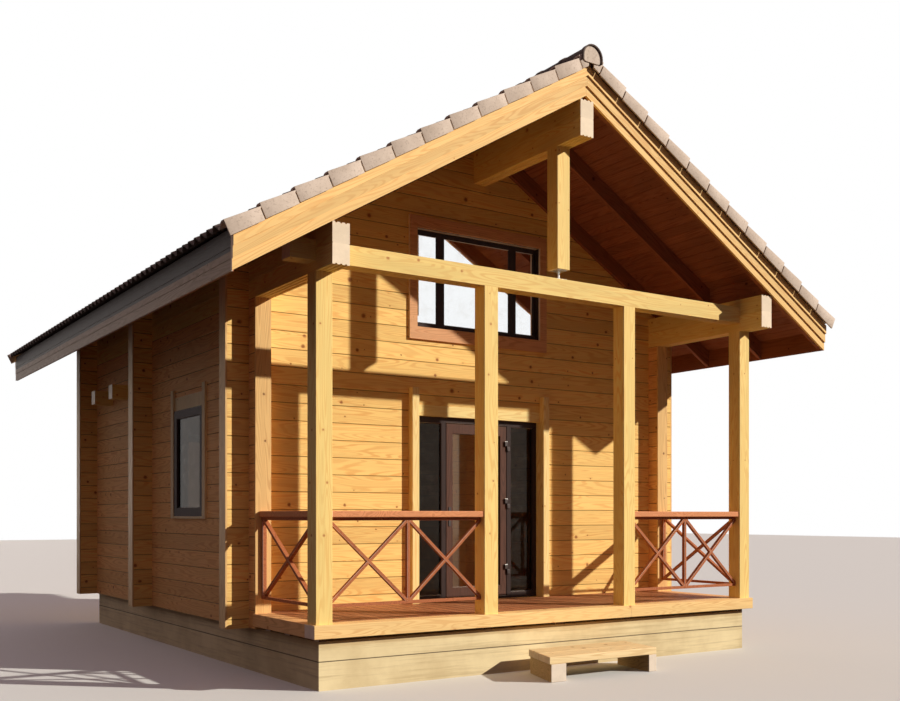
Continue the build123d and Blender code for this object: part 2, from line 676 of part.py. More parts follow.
def tiles():
    """Tile courses of each slope with the flanges that turn down over the bargeboards."""
    front = ROOF_FRONT - VERGE_STEP
    back = ROOF_BACK + VERGE_STEP
    slab = outline_along_y(tile_outline(TILE_BASE, 0), front, back)
    flange = tile_outline(BARGE_DEPTH - VERGE_HANG - VERGE_TILT / 2, VERGE_TILT)
    right = slab + outline_along_y(flange, front - VERGE_FLANGE, front)
    right += outline_along_y(flange, back, back + VERGE_FLANGE)
    save("tiles_right", right)
    save("tiles_left", mirrored(right))

    ends = (front - VERGE_FLANGE - RIDGE_OVERHANG, back + VERGE_FLANGE + RIDGE_OVERHANG)
    centre = Plane(origin=(0, ends[0], RIDGE_CENTRE), x_dir=(1, 0, 0), z_dir=(0, -1, 0))
    length = ends[1] - ends[0]
    upper_half = Pos(0, RIDGE_RADIUS / 2) * Rectangle(2 * RIDGE_RADIUS, RIDGE_RADIUS)
    outside = Circle(RIDGE_RADIUS) & upper_half
    outside += Pos(0, -RIDGE_LEG / 2) * Rectangle(2 * RIDGE_RADIUS, RIDGE_LEG)
    hollow = RIDGE_RADIUS - RIDGE_SHELL
    inside = Circle(hollow) + Pos(0, -RIDGE_LEG) * Rectangle(2 * hollow, 2 * RIDGE_LEG)
    ridge = extrude(centre * (outside - inside), amount=-length)
    ridge = ridge - right - mirrored(right)
    save("ridge_tiles", *ridge.solids().sort_by(SortBy.VOLUME)[-1:])

    face = Circle(hollow) & upper_half
    leg = Pos(0, -RIDGE_CAP_LEG / 2) * Rectangle(2 * hollow, RIDGE_CAP_LEG)
    corners = leg.vertices().sort_by(Axis.Y)[:2]
    face += fillet(corners, RIDGE_CAP_CORNER)
    front_cap = extrude(centre.offset(-RIDGE_OVERHANG) * face, amount=RIDGE_CAP)
    back_cap = Pos(0, length - 2 * RIDGE_OVERHANG + RIDGE_CAP, 0) * front_cap
    save("ridge_end_caps", front_cap, back_cap)


def ring(u_half, z0, z1, stile, rail):
    """A flat frame round one pane, drawn in width and height about the middle."""
    outer = Pos(0, (z0 + z1) / 2) * Rectangle(2 * u_half, z1 - z0)
    hole = Pos(0, (z0 + z1) / 2) * Rectangle(2 * (u_half - stile), z1 - z0 - 2 * rail)
    return outer - hole


def facing(x, y, outward):
    """Plane on a wall's face, drawn in width and height, whose normal points outward."""
    across = Vector(0, 0, 1).cross(Vector(*outward))
    return Plane(origin=(x, y, 0), x_dir=across, z_dir=outward)


def recessed(plane, drawn, front, depth):
    """Extrudes what is drawn on a wall plane from front to front plus depth behind it."""
    return extrude(plane.offset(-front - depth) * drawn, amount=depth)


def window_openings():
    """Each side window: its plane on the wall's outer face, and its middle along it."""
    places = [facing(side * HALF_WIDTH, SIDE_WINDOW_Y, (side, 0, 0)) for side in (1, -1)]
    places += [facing(x, HOUSE_DEPTH, (0, 1, 0)) for x in (-BACK_WINDOW_X, BACK_WINDOW_X)]
    return places


def gable_windows():
    return [facing(0, 0, (0, -1, 0)), facing(0, HOUSE_DEPTH, (0, 1, 0))]


def jamb_pair(plane, half, width, z0, head, top, stands_out):
    """Two jamb timbers that line an opening and stand proud of the wall up past its head."""
    pieces = []
    for side in (-1, 1):
        middle = side * (half - width / 2)
        lining = Pos(middle, (z0 + head) / 2) * Rectangle(width, head - z0)
        proud = Pos(middle, (z0 + top) / 2) * Rectangle(width, top - z0)
        jamb = recessed(plane, lining, 0, TIMBER) + recessed(plane, proud, -stands_out, stands_out)
        pieces.append(jamb)
    return pieces


def side_window_parts():
    """Casings, frames and glass of the four lower windows."""
    casings, frames, panes = [], [], []
    half = WINDOW_WIDTH / 2
    clear = half - JAMB_WIDTH
    top = WINDOW_HEAD + WINDOW_HEAD_BOARD
    sash_z = (WINDOW_SILL + WINDOW_SILL_TRIM, WINDOW_HEAD)
    for plane in window_openings():
        jamb_top = top + WINDOW_JAMB_RISE
        casings += jamb_pair(plane, half, JAMB_WIDTH, WINDOW_SILL, top, jamb_top, WINDOW_JAMB_PROUD)
        head = Pos(0, (WINDOW_HEAD + top) / 2) * Rectangle(2 * clear, WINDOW_HEAD_BOARD)
        casings.append(recessed(plane, head, 0, TIMBER))
        trim = Pos(0, WINDOW_SILL + WINDOW_SILL_TRIM / 2) * Rectangle(2 * clear, WINDOW_SILL_TRIM)
        casings.append(recessed(plane, trim, -WINDOW_JAMB_PROUD, WINDOW_JAMB_PROUD + TIMBER))
        frames.append(recessed(plane, ring(clear, *sash_z, SASH, SASH), -WINDOW_UNIT_PROUD, UNIT_DEPTH))
        middle = (UNIT_DEPTH - GLASS) / 2 - WINDOW_UNIT_PROUD
        pane_size = (2 * (clear - SASH), sash_z[1] - sash_z[0] - 2 * SASH)
        glass = Pos(0, sum(sash_z) / 2) * Rectangle(*pane_size)
        panes.append(recessed(plane, glass, middle, GLASS))
    save("window_casings", *casings)
    save("window_frames", *frames)
    save("window_glass", *panes)


def gable_window_parts():
    """Casing boards, frames and glass of the two gable windows."""
    casings, frames, panes = [], [], []
    low, high = GABLE_SILL - GABLE_SILL_BOARD, GABLE_TOP + GABLE_HEAD_BOARD
    rail = GABLE_RAIL
    middle_z = (GABLE_SILL + GABLE_TOP) / 2
    pane_height = GABLE_TOP - GABLE_SILL - 2 * rail
    middle_half = GABLE_MULLION_X - GABLE_MULLION
    for plane in gable_windows():
        for side in (-1, 1):
            board = Pos(side * (GABLE_HALF + GABLE_CASING / 2), (low + high) / 2)
            board *= Rectangle(GABLE_CASING, high - low)
            casings.append(recessed(plane, board, -GABLE_CASING_PROUD, GABLE_CASING_PROUD))
        for z, height in ((low, GABLE_SILL_BOARD), (GABLE_TOP, GABLE_HEAD_BOARD)):
            board = Pos(0, z + height / 2) * Rectangle(2 * GABLE_HALF, height)
            casings.append(recessed(plane, board, -GABLE_CASING_PROUD, GABLE_CASING_PROUD))
        drawn = ring(GABLE_HALF, GABLE_SILL, GABLE_TOP, GABLE_STILE, rail)
        for side in (-1, 1):
            mullion = Pos(side * (GABLE_MULLION_X - GABLE_MULLION / 2), middle_z)
            drawn += mullion * Rectangle(GABLE_MULLION, pane_height)
        frames.append(recessed(plane, drawn, UNIT_RECESS, UNIT_DEPTH))
        depth = UNIT_RECESS + (UNIT_DEPTH - GLASS) / 2
        middle = Pos(0, middle_z) * Rectangle(2 * middle_half, pane_height)
        panes.append(recessed(plane, middle, depth, GLASS))
        for side in (-1, 1):
            centre = side * (GABLE_MULLION_X + GABLE_SIDE_PANE / 2)
            pane = Pos(centre, middle_z) * Rectangle(GABLE_SIDE_PANE, pane_height)
            panes.append(recessed(plane, pane, depth, GLASS))
    save("gable_casings", *casings)
    save("gable_frames", *frames)
    save("gable_glass", *panes)


def door_surround():
    """Jambs, head board, side lights, threshold and head of the entrance."""
    plane = facing(0, 0, (0, -1, 0))
    top = DOOR_OPENING_TOP
    jambs = jamb_pair(plane, DOOR_OPENING_HALF, JAMB_WIDTH, RIM_TOP, top, top + JAMB_RISE, JAMB_PROUD)
    save("door_jambs", *jambs)
    head = Pos(0, (UNIT_TOP + top) / 2) * Rectangle(2 * UNIT_HALF, top - UNIT_TOP)
    save("door_head_board", recessed(plane, head, 0, TIMBER))

    inner = LEAF_HALF + LEAF_GAP
    outer_z = (RIM_TOP, UNIT_TOP)
    height = outer_z[1] - outer_z[0]
    centre = (inner + UNIT_HALF) / 2
    pane_left = inner + LIGHT_MULLION
    pane_right = UNIT_HALF - LIGHT_STILE
    hole = Pos((pane_left + pane_right) / 2, sum(outer_z) / 2)
    hole *= Rectangle(pane_right - pane_left, height - 2 * LIGHT_RAIL)
    whole = Pos(centre, sum(outer_z) / 2) * Rectangle(UNIT_HALF - inner, height)
    light = recessed(plane, whole - hole, UNIT_RECESS, UNIT_DEPTH)
    pane = recessed(plane, hole, UNIT_RECESS + (UNIT_DEPTH - GLASS) / 2, GLASS)
    save("side_lights", light, mirrored(light))
    save("side_light_glass", pane, mirrored(pane))

    depth = (UNIT_FRONT, UNIT_BACK)
    sill = block((-inner, inner), depth, (RIM_TOP, RIM_TOP + THRESHOLD))
    lintel = block((-inner, inner), depth, (UNIT_TOP - DOOR_HEAD, UNIT_TOP))
    save("door_threshold_and_head", sill, lintel)


def hinge_half(side, z0, z1):
    """Half a hinge: its knuckle on the pin, and its wing on the leaf (side -1) or the frame (1)."""
    pin_x = LEAF_HALF + LEAF_GAP - HINGE_PIN_INSET
    pin_y = UNIT_FRONT - HINGE_PIN_PROUD
    knuckle = Pos(pin_x, pin_y, (z0 + z1) / 2) * Cylinder(HINGE_PIN_RADIUS, z1 - z0)
    wing_x = (pin_x + side * HINGE_WING_NEAR, pin_x + side * HINGE_WING_FAR)
    return knuckle + block(wing_x, (UNIT_FRONT - HINGE_WING, UNIT_FRONT), (z0, z1))


def door():
    """The leaf that opens outward on three hinges, its glass and the lever handle."""
    plane = facing(0, 0, (0, -1, 0))
    low = RIM_TOP + THRESHOLD + LEAF_GAP
    high = UNIT_TOP - DOOR_HEAD - LEAF_GAP
    leaf = recessed(plane, ring(LEAF_HALF, low, high, LEAF_STILE, LEAF_RAIL), UNIT_RECESS, UNIT_DEPTH)
    save("door_leaf", leaf)
    pane_size = (2 * (LEAF_HALF - LEAF_STILE), high - low - 2 * LEAF_RAIL)
    glass = Pos(0, (low + high) / 2) * Rectangle(*pane_size)
    save("door_glass", recessed(plane, glass, UNIT_RECESS + (UNIT_DEPTH - GLASS) / 2, GLASS))

    upper_halves, lower_halves = [], []
    for height in HINGE_HEIGHTS:
        z = low + height
        upper_halves.append(hinge_half(-1, z + HINGE_PLAY / 2, z + HINGE_LENGTH / 2))
        lower_halves.append(hinge_half(1, z - HINGE_LENGTH / 2, z - HINGE_PLAY / 2))
    save("hinge_seats", *lower_halves)

    handle_x = -LEAF_HALF + LEAF_STILE / 2
    z = RIM_TOP + HANDLE_HEIGHT
    plate = Pos(handle_x, UNIT_FRONT - HANDLE_PLATE[1] / 2, z) * Box(*HANDLE_PLATE)
    neck_length = UNIT_FRONT - sum(HANDLE_GRIP_Y) / 2
    grip_z = (z + HANDLE_RISE - HANDLE_GRIP_HEIGHT / 2, z + HANDLE_RISE + HANDLE_GRIP_HEIGHT / 2)
    neck = Pos(handle_x, UNIT_FRONT - neck_length / 2, z + HANDLE_RISE)
    neck *= Rot(90, 0, 0) * Cylinder(HANDLE_NECK_RADIUS, neck_length)
    grip = block((handle_x - HANDLE_NECK_RADIUS, handle_x + HANDLE_REACH), HANDLE_GRIP_Y, grip_z)
    save("door_fittings", *upper_halves, plate + neck + grip)


def step_outline(left, right, front, back, left_lean, right_lean):
    """Outline in plan between two depths behind the step's front; its ends lean to the right."""
    corners = []
    for x, lean, depth in (
        (left, left_lean, front), (right, right_lean, front),
        (right, right_lean, back), (left, left_lean, back),
    ):
        corners.append((x + lean * depth / STEP_DEPTH, STEP_FRONT + depth))
    return make_face(Polyline(*corners, close=True))


def entry_step():
    """Loose step of two thick boards on two timber bearers, made by eye with skewed ends."""
    board_depth = (STEP_DEPTH - STEP_BOARD_GAP) / 2
    boards = []
    for front in (0, board_depth + STEP_BOARD_GAP):
        depths = (front, front + board_depth)
        drawn = step_outline(STEP_LEFT, STEP_RIGHT, *depths, STEP_LEFT_LEAN, STEP_RIGHT_LEAN)
        boards.append(extrude(Plane.XY.offset(STEP_TOP - STEP_BOARD) * drawn, amount=STEP_BOARD))
    save("step_boards", *boards)
    bearers = []
    for left, width, lean in (
        (STEP_LEFT + STEP_LIP, STEP_BEARER_LEFT, STEP_LEFT_LEAN),
        (STEP_RIGHT - STEP_BEARER_RIGHT, STEP_BEARER_RIGHT, STEP_RIGHT_LEAN),
    ):
        drawn = step_outline(left, left + width, 0, STEP_DEPTH, lean, lean)
        bearers.append(extrude(Plane.XY * drawn, amount=STEP_TOP - STEP_BOARD))
    save("step_bearers", *bearers)


os.makedirs("parts", exist_ok=True)
save("foundation", foundation())
terrace_base()
floors()
front_walls()
back_wall()
side_walls()
wall_ends()
porch_frame()
railings()
roof_frame()
barge_boards()
fascias()
tiles()
side_window_parts()
gable_window_parts()
door_surround()
door()
entry_step()
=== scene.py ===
import math

import bpy
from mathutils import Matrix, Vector


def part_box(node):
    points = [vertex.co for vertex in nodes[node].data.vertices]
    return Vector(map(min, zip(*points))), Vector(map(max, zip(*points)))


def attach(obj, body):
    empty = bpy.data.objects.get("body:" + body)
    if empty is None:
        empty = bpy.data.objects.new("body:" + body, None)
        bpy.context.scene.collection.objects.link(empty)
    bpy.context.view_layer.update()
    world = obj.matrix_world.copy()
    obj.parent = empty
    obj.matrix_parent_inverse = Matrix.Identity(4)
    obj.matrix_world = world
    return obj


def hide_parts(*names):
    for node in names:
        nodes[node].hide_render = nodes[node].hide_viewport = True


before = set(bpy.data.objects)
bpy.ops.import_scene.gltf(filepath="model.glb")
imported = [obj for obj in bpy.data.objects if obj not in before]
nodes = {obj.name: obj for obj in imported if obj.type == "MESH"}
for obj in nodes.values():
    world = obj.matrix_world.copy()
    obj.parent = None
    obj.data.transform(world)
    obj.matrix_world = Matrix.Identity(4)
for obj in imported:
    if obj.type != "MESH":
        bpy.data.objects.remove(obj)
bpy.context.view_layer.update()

# Where the house is seen from: a level camera in front of the left corner, at a standing
# person's eye height, with the lens raised so that the posts stay upright in the picture.
bpy.ops.object.camera_add(
    location=(-7.0495, -10.0138, 1.5936),
    rotation=(math.radians(90), 0, math.radians(-33.52)),
)
camera = bpy.context.object
camera.name = "Front left view"
camera.data.lens = 42.03
camera.data.shift_y = 0.1825
camera.data.clip_end = 200
bpy.context.scene.camera = camera
bpy.context.scene.view_settings.view_transform = "Standard"


# Foundation: a concrete ring cast between form boards, which left their grain and one seam line
# along each face, with a browner band of painted shade just under the timber.
def colour(red, green, blue):
    """A colour written in the usual 0 to 255, as the shaders want it."""
    parts = []
    for part in (red, green, blue):
        share = part / 255
        parts.append(share / 12.92 if share <= 0.04045 else ((share + 0.055) / 1.055) ** 2.4)
    return (*parts, 1)


def add_node(tree, kind, values=(), **settings):
    """Adds one shader node; values go to its sockets, as numbers or as another node's output."""
    node = tree.nodes.new(kind)
    for name, setting in settings.items():
        setattr(node, name, setting)
    for socket, value in dict(values).items():
        if isinstance(value, bpy.types.NodeSocket):
            tree.links.new(value, node.inputs[socket])
        else:
            node.inputs[socket].default_value = value
    return node


def parts_of(tree, arrow):
    """The three parts of an arrow or a place."""
    return add_node(tree, "ShaderNodeSeparateXYZ", {0: arrow}).outputs


def arrow_of(tree, *parts):
    """An arrow or a place made of three parts."""
    return add_node(tree, "ShaderNodeCombineXYZ", enumerate(parts)).outputs[0]


def sums(tree, operation, *values):
    """One step of arithmetic on numbers."""
    return add_node(tree, "ShaderNodeMath", enumerate(values), operation=operation).outputs[0]


def arrows(tree, operation, *values):
    """One step of arithmetic on vectors."""
    node = add_node(tree, "ShaderNodeVectorMath", enumerate(values), operation=operation)
    return node.outputs[1 if operation in ("DOT_PRODUCT", "LENGTH") else 0]


def noise(tree, vector, scale, detail=2.0, roughness=0.5, distortion=0.0):
    """A soft cloudy pattern between 0 and 1."""
    values = {
        "Vector": vector, "Scale": scale, "Detail": detail, "Roughness": roughness,
        "Distortion": distortion,
    }
    return add_node(tree, "ShaderNodeTexNoise", values).outputs[0]


def ramp(tree, value, low, high, start=0.0, end=1.0):
    """Turns the stretch from low to high into a soft step from start to end."""
    values = {"Value": value, "From Min": low, "From Max": high, "To Min": start, "To Max": end}
    return add_node(tree, "ShaderNodeMapRange", values, interpolation_type="SMOOTHSTEP").outputs[0]


def blended(tree, share, first, second, how="MIX"):
    """Mixes two colours."""
    values = {0: share, 6: first, 7: second}
    return add_node(tree, "ShaderNodeMix", values, data_type="RGBA", blend_type=how).outputs[2]


def new_material(name, metallic=0.0, gloss=0.12):
    """An empty material; returns it with its node tree, its shader and the object's own place."""
    material = bpy.data.materials.new(name)
    material.use_nodes = True
    tree = material.node_tree
    shader = tree.nodes["Principled BSDF"]
    shader.inputs["Metallic"].default_value = metallic
    shader.inputs["Specular IOR Level"].default_value = gloss
    place = add_node(tree, "ShaderNodeTexCoord").outputs["Object"]
    return material, tree, shader, place


def surfaced(tree, shader, shade, rough, height, strength, distance):
    """Gives the shader its colour, its roughness and the height that the surface rises by."""
    values = {"Height": height, "Strength": strength, "Distance": distance}
    bump = add_node(tree, "ShaderNodeBump", values).outputs[0]
    for name, value in (("Base Color", shade), ("Roughness", rough), ("Normal", bump)):
        tree.links.new(value, shader.inputs[name])


def dress(material, *names):
    """Gives CAD nodes their material."""
    for name in names:
        nodes[name].data.materials.clear()
        nodes[name].data.materials.append(material)


SEAM_HEIGHT = 0.262
SEAM_HALF = 0.002
SHADE_BAND_START = 0.405
SHADE_BAND_END = 0.430
concrete, tree, shader, place = new_material("Board-marked concrete")
level = parts_of(tree, place)[2]
streaks = add_node(tree, "ShaderNodeMapping", {"Vector": place, "Scale": (0.8, 0.8, 26)}).outputs[0]
streak = noise(tree, streaks, 1.3, 5, 0.65)
cloud = noise(tree, place, 1.7, 4, 0.6)
grit = noise(tree, place, 55, 3, 0.7)
from_seam = sums(tree, "ABSOLUTE", sums(tree, "SUBTRACT", level, SEAM_HEIGHT))
seam = ramp(tree, from_seam, SEAM_HALF, 4 * SEAM_HALF)
# The browner band just under the timber is painted shade.
uneven_level = sums(tree, "ADD", level, sums(tree, "MULTIPLY", cloud, 0.05))
painted_shade_band = ramp(tree, uneven_level, SHADE_BAND_START, SHADE_BAND_END)
shade = blended(tree, ramp(tree, cloud, 0.3, 0.75), colour(250, 228, 178), colour(224, 200, 152))
shade = blended(tree, ramp(tree, streak, 0.45, 0.72, 0, 0.5), shade, colour(186, 160, 116))
shade = blended(tree, sums(tree, "MULTIPLY", painted_shade_band, 0.4), shade, colour(190, 154, 104))
shade = blended(tree, seam, colour(120, 105, 80), shade)
relief = sums(tree, "ADD", sums(tree, "MULTIPLY", streak, 0.6), sums(tree, "MULTIPLY", grit, 0.35))
relief = sums(tree, "ADD", relief, seam)
surfaced(tree, shader, shade, ramp(tree, grit, 0, 1, 0.75, 0.98), relief, 0.55, 0.004)
dress(concrete, "foundation")


# Walls: planed spruce timbers stacked in rows, with a V along each joint, darker late wood that
# runs with the grain, and dark knots every half metre or so. Each row was another log.
KNOT_CELL = 0.17
FIGURE_SHIFT = 43
RING_CONTOURS = 150
END_RINGS = 900
FIBRES = 210


def along_grain(tree, spot, length, width, shift=0.0):
    """A spot in a timber, drawn out along the grain for a pattern that runs with the fibres."""
    moved, across, deep = spot
    return arrow_of(
        tree, sums(tree, "MULTIPLY", moved, length),
        sums(tree, "ADD", sums(tree, "MULTIPLY", across, width), shift),
        sums(tree, "MULTIPLY", deep, width),
    )


def length_of(tree, one, other):
    """The length of the slanting side over two square ones."""
    one, other = sums(tree, "MULTIPLY", one, one), sums(tree, "MULTIPLY", other, other)
    return sums(tree, "SQRT", sums(tree, "ADD", one, other))


def timber_group():
    """Planed, knotty timber: the grain runs along one arrow, rows are stacked along another."""
    tree = bpy.data.node_groups.new("Knotty timber", "ShaderNodeTree")
    sockets = (
        ("Place", "Vector"), ("Facing", "Vector"), ("Grain", "Vector"), ("Across", "Vector"),
        ("Pith", "Vector"), ("Board", "Float"), ("Pale", "Color"), ("Late wood", "Color"),
        ("Knot", "Color"), ("Knot spacing", "Float"), ("Knot size", "Float"), ("Joint", "Float"),
    )
    for name, kind in sockets:
        tree.interface.new_socket(name, in_out="INPUT", socket_type="NodeSocket" + kind)
    for name, kind in (("Color", "Color"), ("Roughness", "Float"), ("Height", "Float")):
        tree.interface.new_socket(name, in_out="OUTPUT", socket_type="NodeSocket" + kind)
    given = tree.nodes.new("NodeGroupInput").outputs

    depth = arrows(tree, "CROSS_PRODUCT", given["Grain"], given["Across"])
    along = arrows(tree, "DOT_PRODUCT", given["Place"], given["Grain"])
    from_pith = arrows(tree, "SUBTRACT", given["Place"], given["Pith"])
    across = arrows(tree, "DOT_PRODUCT", from_pith, given["Across"])
    deep = arrows(tree, "DOT_PRODUCT", from_pith, depth)
    tone = add_node(tree, "ShaderNodeTexWhiteNoise", {"W": given["Board"]}, noise_dimensions="1D")
    shift = sums(tree, "MULTIPLY", tone.outputs["Value"], FIGURE_SHIFT)
    moved = sums(tree, "ADD", along, shift)
    spot = (moved, across, deep)

    # knots: one place in each cell of a row, round, some left out
    cells = arrow_of(
        tree, sums(tree, "DIVIDE", moved, given["Knot spacing"]),
        sums(tree, "DIVIDE", sums(tree, "ADD", across, deep), KNOT_CELL),
    )
    knots = add_node(
        tree, "ShaderNodeTexVoronoi", {"Vector": cells, "Scale": 1, "Randomness": 0.9},
        voronoi_dimensions="2D",
    ).outputs
    gap = parts_of(tree, arrows(tree, "SUBTRACT", cells, knots["Position"]))
    ragged = sums(tree, "SUBTRACT", noise(tree, given["Place"], 60, 2, 0.6), 0.5)
    stray = sums(tree, "MULTIPLY", ragged, 0.012)
    gap_along = sums(tree, "ADD", sums(tree, "MULTIPLY", gap[0], given["Knot spacing"]), stray)
    gap_across = sums(tree, "SUBTRACT", sums(tree, "MULTIPLY", gap[1], KNOT_CELL), stray)
    reach = length_of(tree, gap_along, gap_across)
    chance = add_node(tree, "ShaderNodeSeparateColor", {0: knots["Color"]}).outputs
    share = sums(tree, "ADD", sums(tree, "POWER", chance[0], 2.0), 0.25)
    share = sums(tree, "MULTIPLY", share, ramp(tree, chance[1], 0.40, 0.44))
    size = sums(tree, "MULTIPLY", given["Knot size"], share)
    near_knot = sums(tree, "DIVIDE", reach, sums(tree, "MAXIMUM", size, 0.0005))
    knot = ramp(tree, near_knot, 1.5, 0.4)
    halo = sums(tree, "EXPONENT", sums(tree, "MULTIPLY", near_knot, -0.75))

    # late wood: lines of equal height in a cloud that is drawn out along the grain
    growth = noise(tree, along_grain(tree, spot, 0.42, 5.0, shift), 1.0, 2, 0.45, 0.25)
    phase = sums(tree, "MULTIPLY", growth, RING_CONTOURS)
    phase = sums(tree, "ADD", phase, sums(tree, "MULTIPLY", halo, 5))
    rings = ramp(tree, sums(tree, "SINE", phase), -0.2, 1.0)
    fibre = noise(tree, along_grain(tree, spot, 6, FIBRES), 1.0, 2, 0.6)
    patch = noise(tree, along_grain(tree, spot, 0.9, 9, shift), 1.0, 3, 0.6)

    # end grain: rings round the pith
    wobble = sums(tree, "MULTIPLY", noise(tree, given["Place"], 9, 2), 7)
    turns = sums(tree, "MULTIPLY", length_of(tree, across, deep), END_RINGS)
    end_rings = sums(tree, "SINE", sums(tree, "ADD", turns, wobble))
    facing_end = arrows(tree, "DOT_PRODUCT", given["Facing"], given["Grain"])
    end = ramp(tree, sums(tree, "ABSOLUTE", facing_end), 0.75, 0.85)

    ring_share = sums(tree, "MULTIPLY", rings, ramp(tree, patch, 0.3, 0.7, 0.2, 0.6))
    shade = blended(tree, ring_share, given["Pale"], given["Late wood"])
    end_share = ramp(tree, end_rings, -1, 1, 0.15, 0.6)
    end_shade = blended(tree, end_share, given["Pale"], given["Late wood"])
    end_shade = blended(tree, 0.75, end_shade, colour(255, 240, 222))
    shade = blended(tree, end, shade, end_shade)
    fibre_share = sums(tree, "MULTIPLY", ramp(tree, fibre, 0.35, 0.75), 0.16)
    shade = blended(tree, fibre_share, shade, given["Late wood"])
    shade = blended(tree, sums(tree, "MULTIPLY", halo, 0.5), shade, given["Late wood"])
    knot_share = sums(tree, "MULTIPLY", knot, sums(tree, "SUBTRACT", 1.0, end))
    shade = blended(tree, sums(tree, "MULTIPLY", knot_share, 0.85), shade, given["Knot"])
    tint = ramp(tree, tone.outputs["Value"], 0, 1, 0.9, 1.07)
    tint = sums(tree, "MULTIPLY", tint, ramp(tree, patch, 0.2, 0.8, 0.93, 1.07))
    tint = sums(tree, "MULTIPLY", tint, ramp(tree, given["Joint"], 0, 1, 1.0, 0.42))
    grey = add_node(tree, "ShaderNodeCombineColor", {0: tint, 1: tint, 2: tint}).outputs[0]
    shade = blended(tree, 1.0, shade, grey, "MULTIPLY")

    height = sums(tree, "MULTIPLY", fibre, 0.5)
    height = sums(tree, "SUBTRACT", height, sums(tree, "MULTIPLY", rings, 0.35))
    height = sums(tree, "SUBTRACT", height, sums(tree, "MULTIPLY", knot_share, 0.5))
    rough = ramp(tree, fibre, 0, 1, 0.5, 0.72)
    add_node(tree, "NodeGroupOutput", {"Color": shade, "Roughness": rough, "Height": height})
    return tree


knotty_timber = timber_group()
ALONG_X, ALONG_Y, ALONG_Z = (1, 0, 0), (0, 1, 0), (0, 0, 1)


def folded(tree, arrow, side):
    """An arrow or a place on either slope, turned over to the right slope."""
    parts = parts_of(tree, arrow)
    return arrow_of(tree, sums(tree, "MULTIPLY", side, parts[0]), parts[1], parts[2])


def timber(name, tones, grain, across, row=0.0, start=0.0, spacing=0.34, knot_size=0.02,
           pith=(0, 0, 0), sloped=False, joint=0.0):
    """Timber in three tones; each row from start has its own figure, and dirt in its joints."""
    material, tree, shader, place = new_material(name)
    pale, late, knot = tones
    facing = add_node(tree, "ShaderNodeTexCoord").outputs["Normal"]
    if sloped:
        side = sums(tree, "SIGN", parts_of(tree, place)[0])
        place, facing = folded(tree, place, side), folded(tree, facing, side)
    if row:
        level = sums(tree, "SUBTRACT", arrows(tree, "DOT_PRODUCT", place, across), start)
        board = sums(tree, "FLOOR", sums(tree, "DIVIDE", level, row))
        middle = sums(tree, "MULTIPLY", sums(tree, "ADD", board, 0.5), row)
        middle = sums(tree, "ADD", middle, start)
        up = add_node(tree, "ShaderNodeVectorMath", {0: across, "Scale": middle}, operation="SCALE")
        pith = arrows(tree, "ADD", pith, up.outputs[0])
        off_joint = sums(tree, "PINGPONG", level, row / 2)
        dirt = ramp(tree, off_joint, joint, joint * 0.4) if joint else 0.0
        clear = ramp(tree, off_joint, joint + 0.004, joint + 0.026)
        knot_size = sums(tree, "MULTIPLY", clear, knot_size)
    else:
        spots = arrows(tree, "MULTIPLY", place, arrows(tree, "SUBTRACT", (1, 1, 1), grain))
        spots = arrows(tree, "ABSOLUTE", spots)
        spots = arrows(tree, "FLOOR", arrows(tree, "SCALE", spots))
        board = arrows(tree, "DOT_PRODUCT", spots, (1, 7, 13))
        dirt = 0.0
    values = {
        "Place": place, "Facing": facing, "Grain": grain, "Across": across, "Pith": pith,
        "Board": board, "Pale": pale, "Late wood": late, "Knot": knot,
        "Knot spacing": spacing, "Knot size": knot_size, "Joint": dirt,
    }
    group = add_node(tree, "ShaderNodeGroup", values, node_tree=knotty_timber)
    surfaced(tree, shader, *group.outputs, 0.35, 0.0015)
    return material


SPRUCE_KNOT = colour(142, 76, 38)
SPRUCE = (colour(252, 210, 128), colour(224, 156, 80), SPRUCE_KNOT)
WALL_JOINT = 0.006
ROW = 0.185
FOUNDATION_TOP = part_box("foundation")[1].z
cross_rows = timber(
    "Spruce rows across the house", SPRUCE, ALONG_X, ALONG_Z,
    ROW, FOUNDATION_TOP + ROW / 2, joint=WALL_JOINT,
)
# The side walls' rows are redder and darker than the front's: painted shade.
shaded_side_rows = timber(
    "Spruce rows of the side walls with painted shade", (colour(246, 190, 122), colour(206, 134, 80), SPRUCE_KNOT),
    ALONG_Y, ALONG_Z, ROW, FOUNDATION_TOP, joint=WALL_JOINT,
)
dress(
    cross_rows, "front_wall_left", "front_wall_right", "front_gable", "back_wall",
    "cross_wall_ends", "door_sill_timber",
)
dress(shaded_side_rows, "left_wall", "right_wall", "side_wall_ends")

# End boards: planed spruce boards, gone a little grey, nailed upright over the ends of the wall
# rows so that rain keeps out of their end grain.
end_boards = timber(
    "Greyed spruce boards", (colour(232, 190, 126), colour(192, 142, 88), colour(120, 78, 46)),
    ALONG_Z, ALONG_X, spacing=0.45, knot_size=0.012,
)
dress(end_boards, "end_boards")

# Porch frame: posts, tie beam and king post of paler planed pine with their edges taken off, and
# the combed double timbers of the ridge and the eaves, whose end grain shows under the verge.
PINE_KNOT = colour(194, 128, 74)
PINE = (colour(255, 222, 140), colour(236, 182, 102), PINE_KNOT)
TIE_PITH = (0, -1.436, 3.96)
EAVE_PITH = (2.78, 0, 0)
upright_pine = timber("Pine uprights", PINE, ALONG_Z, ALONG_X, spacing=0.5, knot_size=0.012)
cross_pine = timber(
    "Pine cross timbers", PINE, ALONG_X, ALONG_Z, spacing=0.45, knot_size=0.014, pith=TIE_PITH,
)
EAVE_LOW, EAVE_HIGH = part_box("eave_beams")
eave_pine = timber(
    "Pine eave timbers", PINE, ALONG_Y, ALONG_Z, ROW, EAVE_LOW.z, pith=EAVE_PITH, sloped=True,
)
RIDGE_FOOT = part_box("ridge_purlin")[0].z
ridge_pine = timber("Pine ridge timbers", PINE, ALONG_Y, ALONG_Z, ROW, RIDGE_FOOT)
dress(upright_pine, "posts", "king_post")
dress(cross_pine, "tie_beam", "upper_joists")
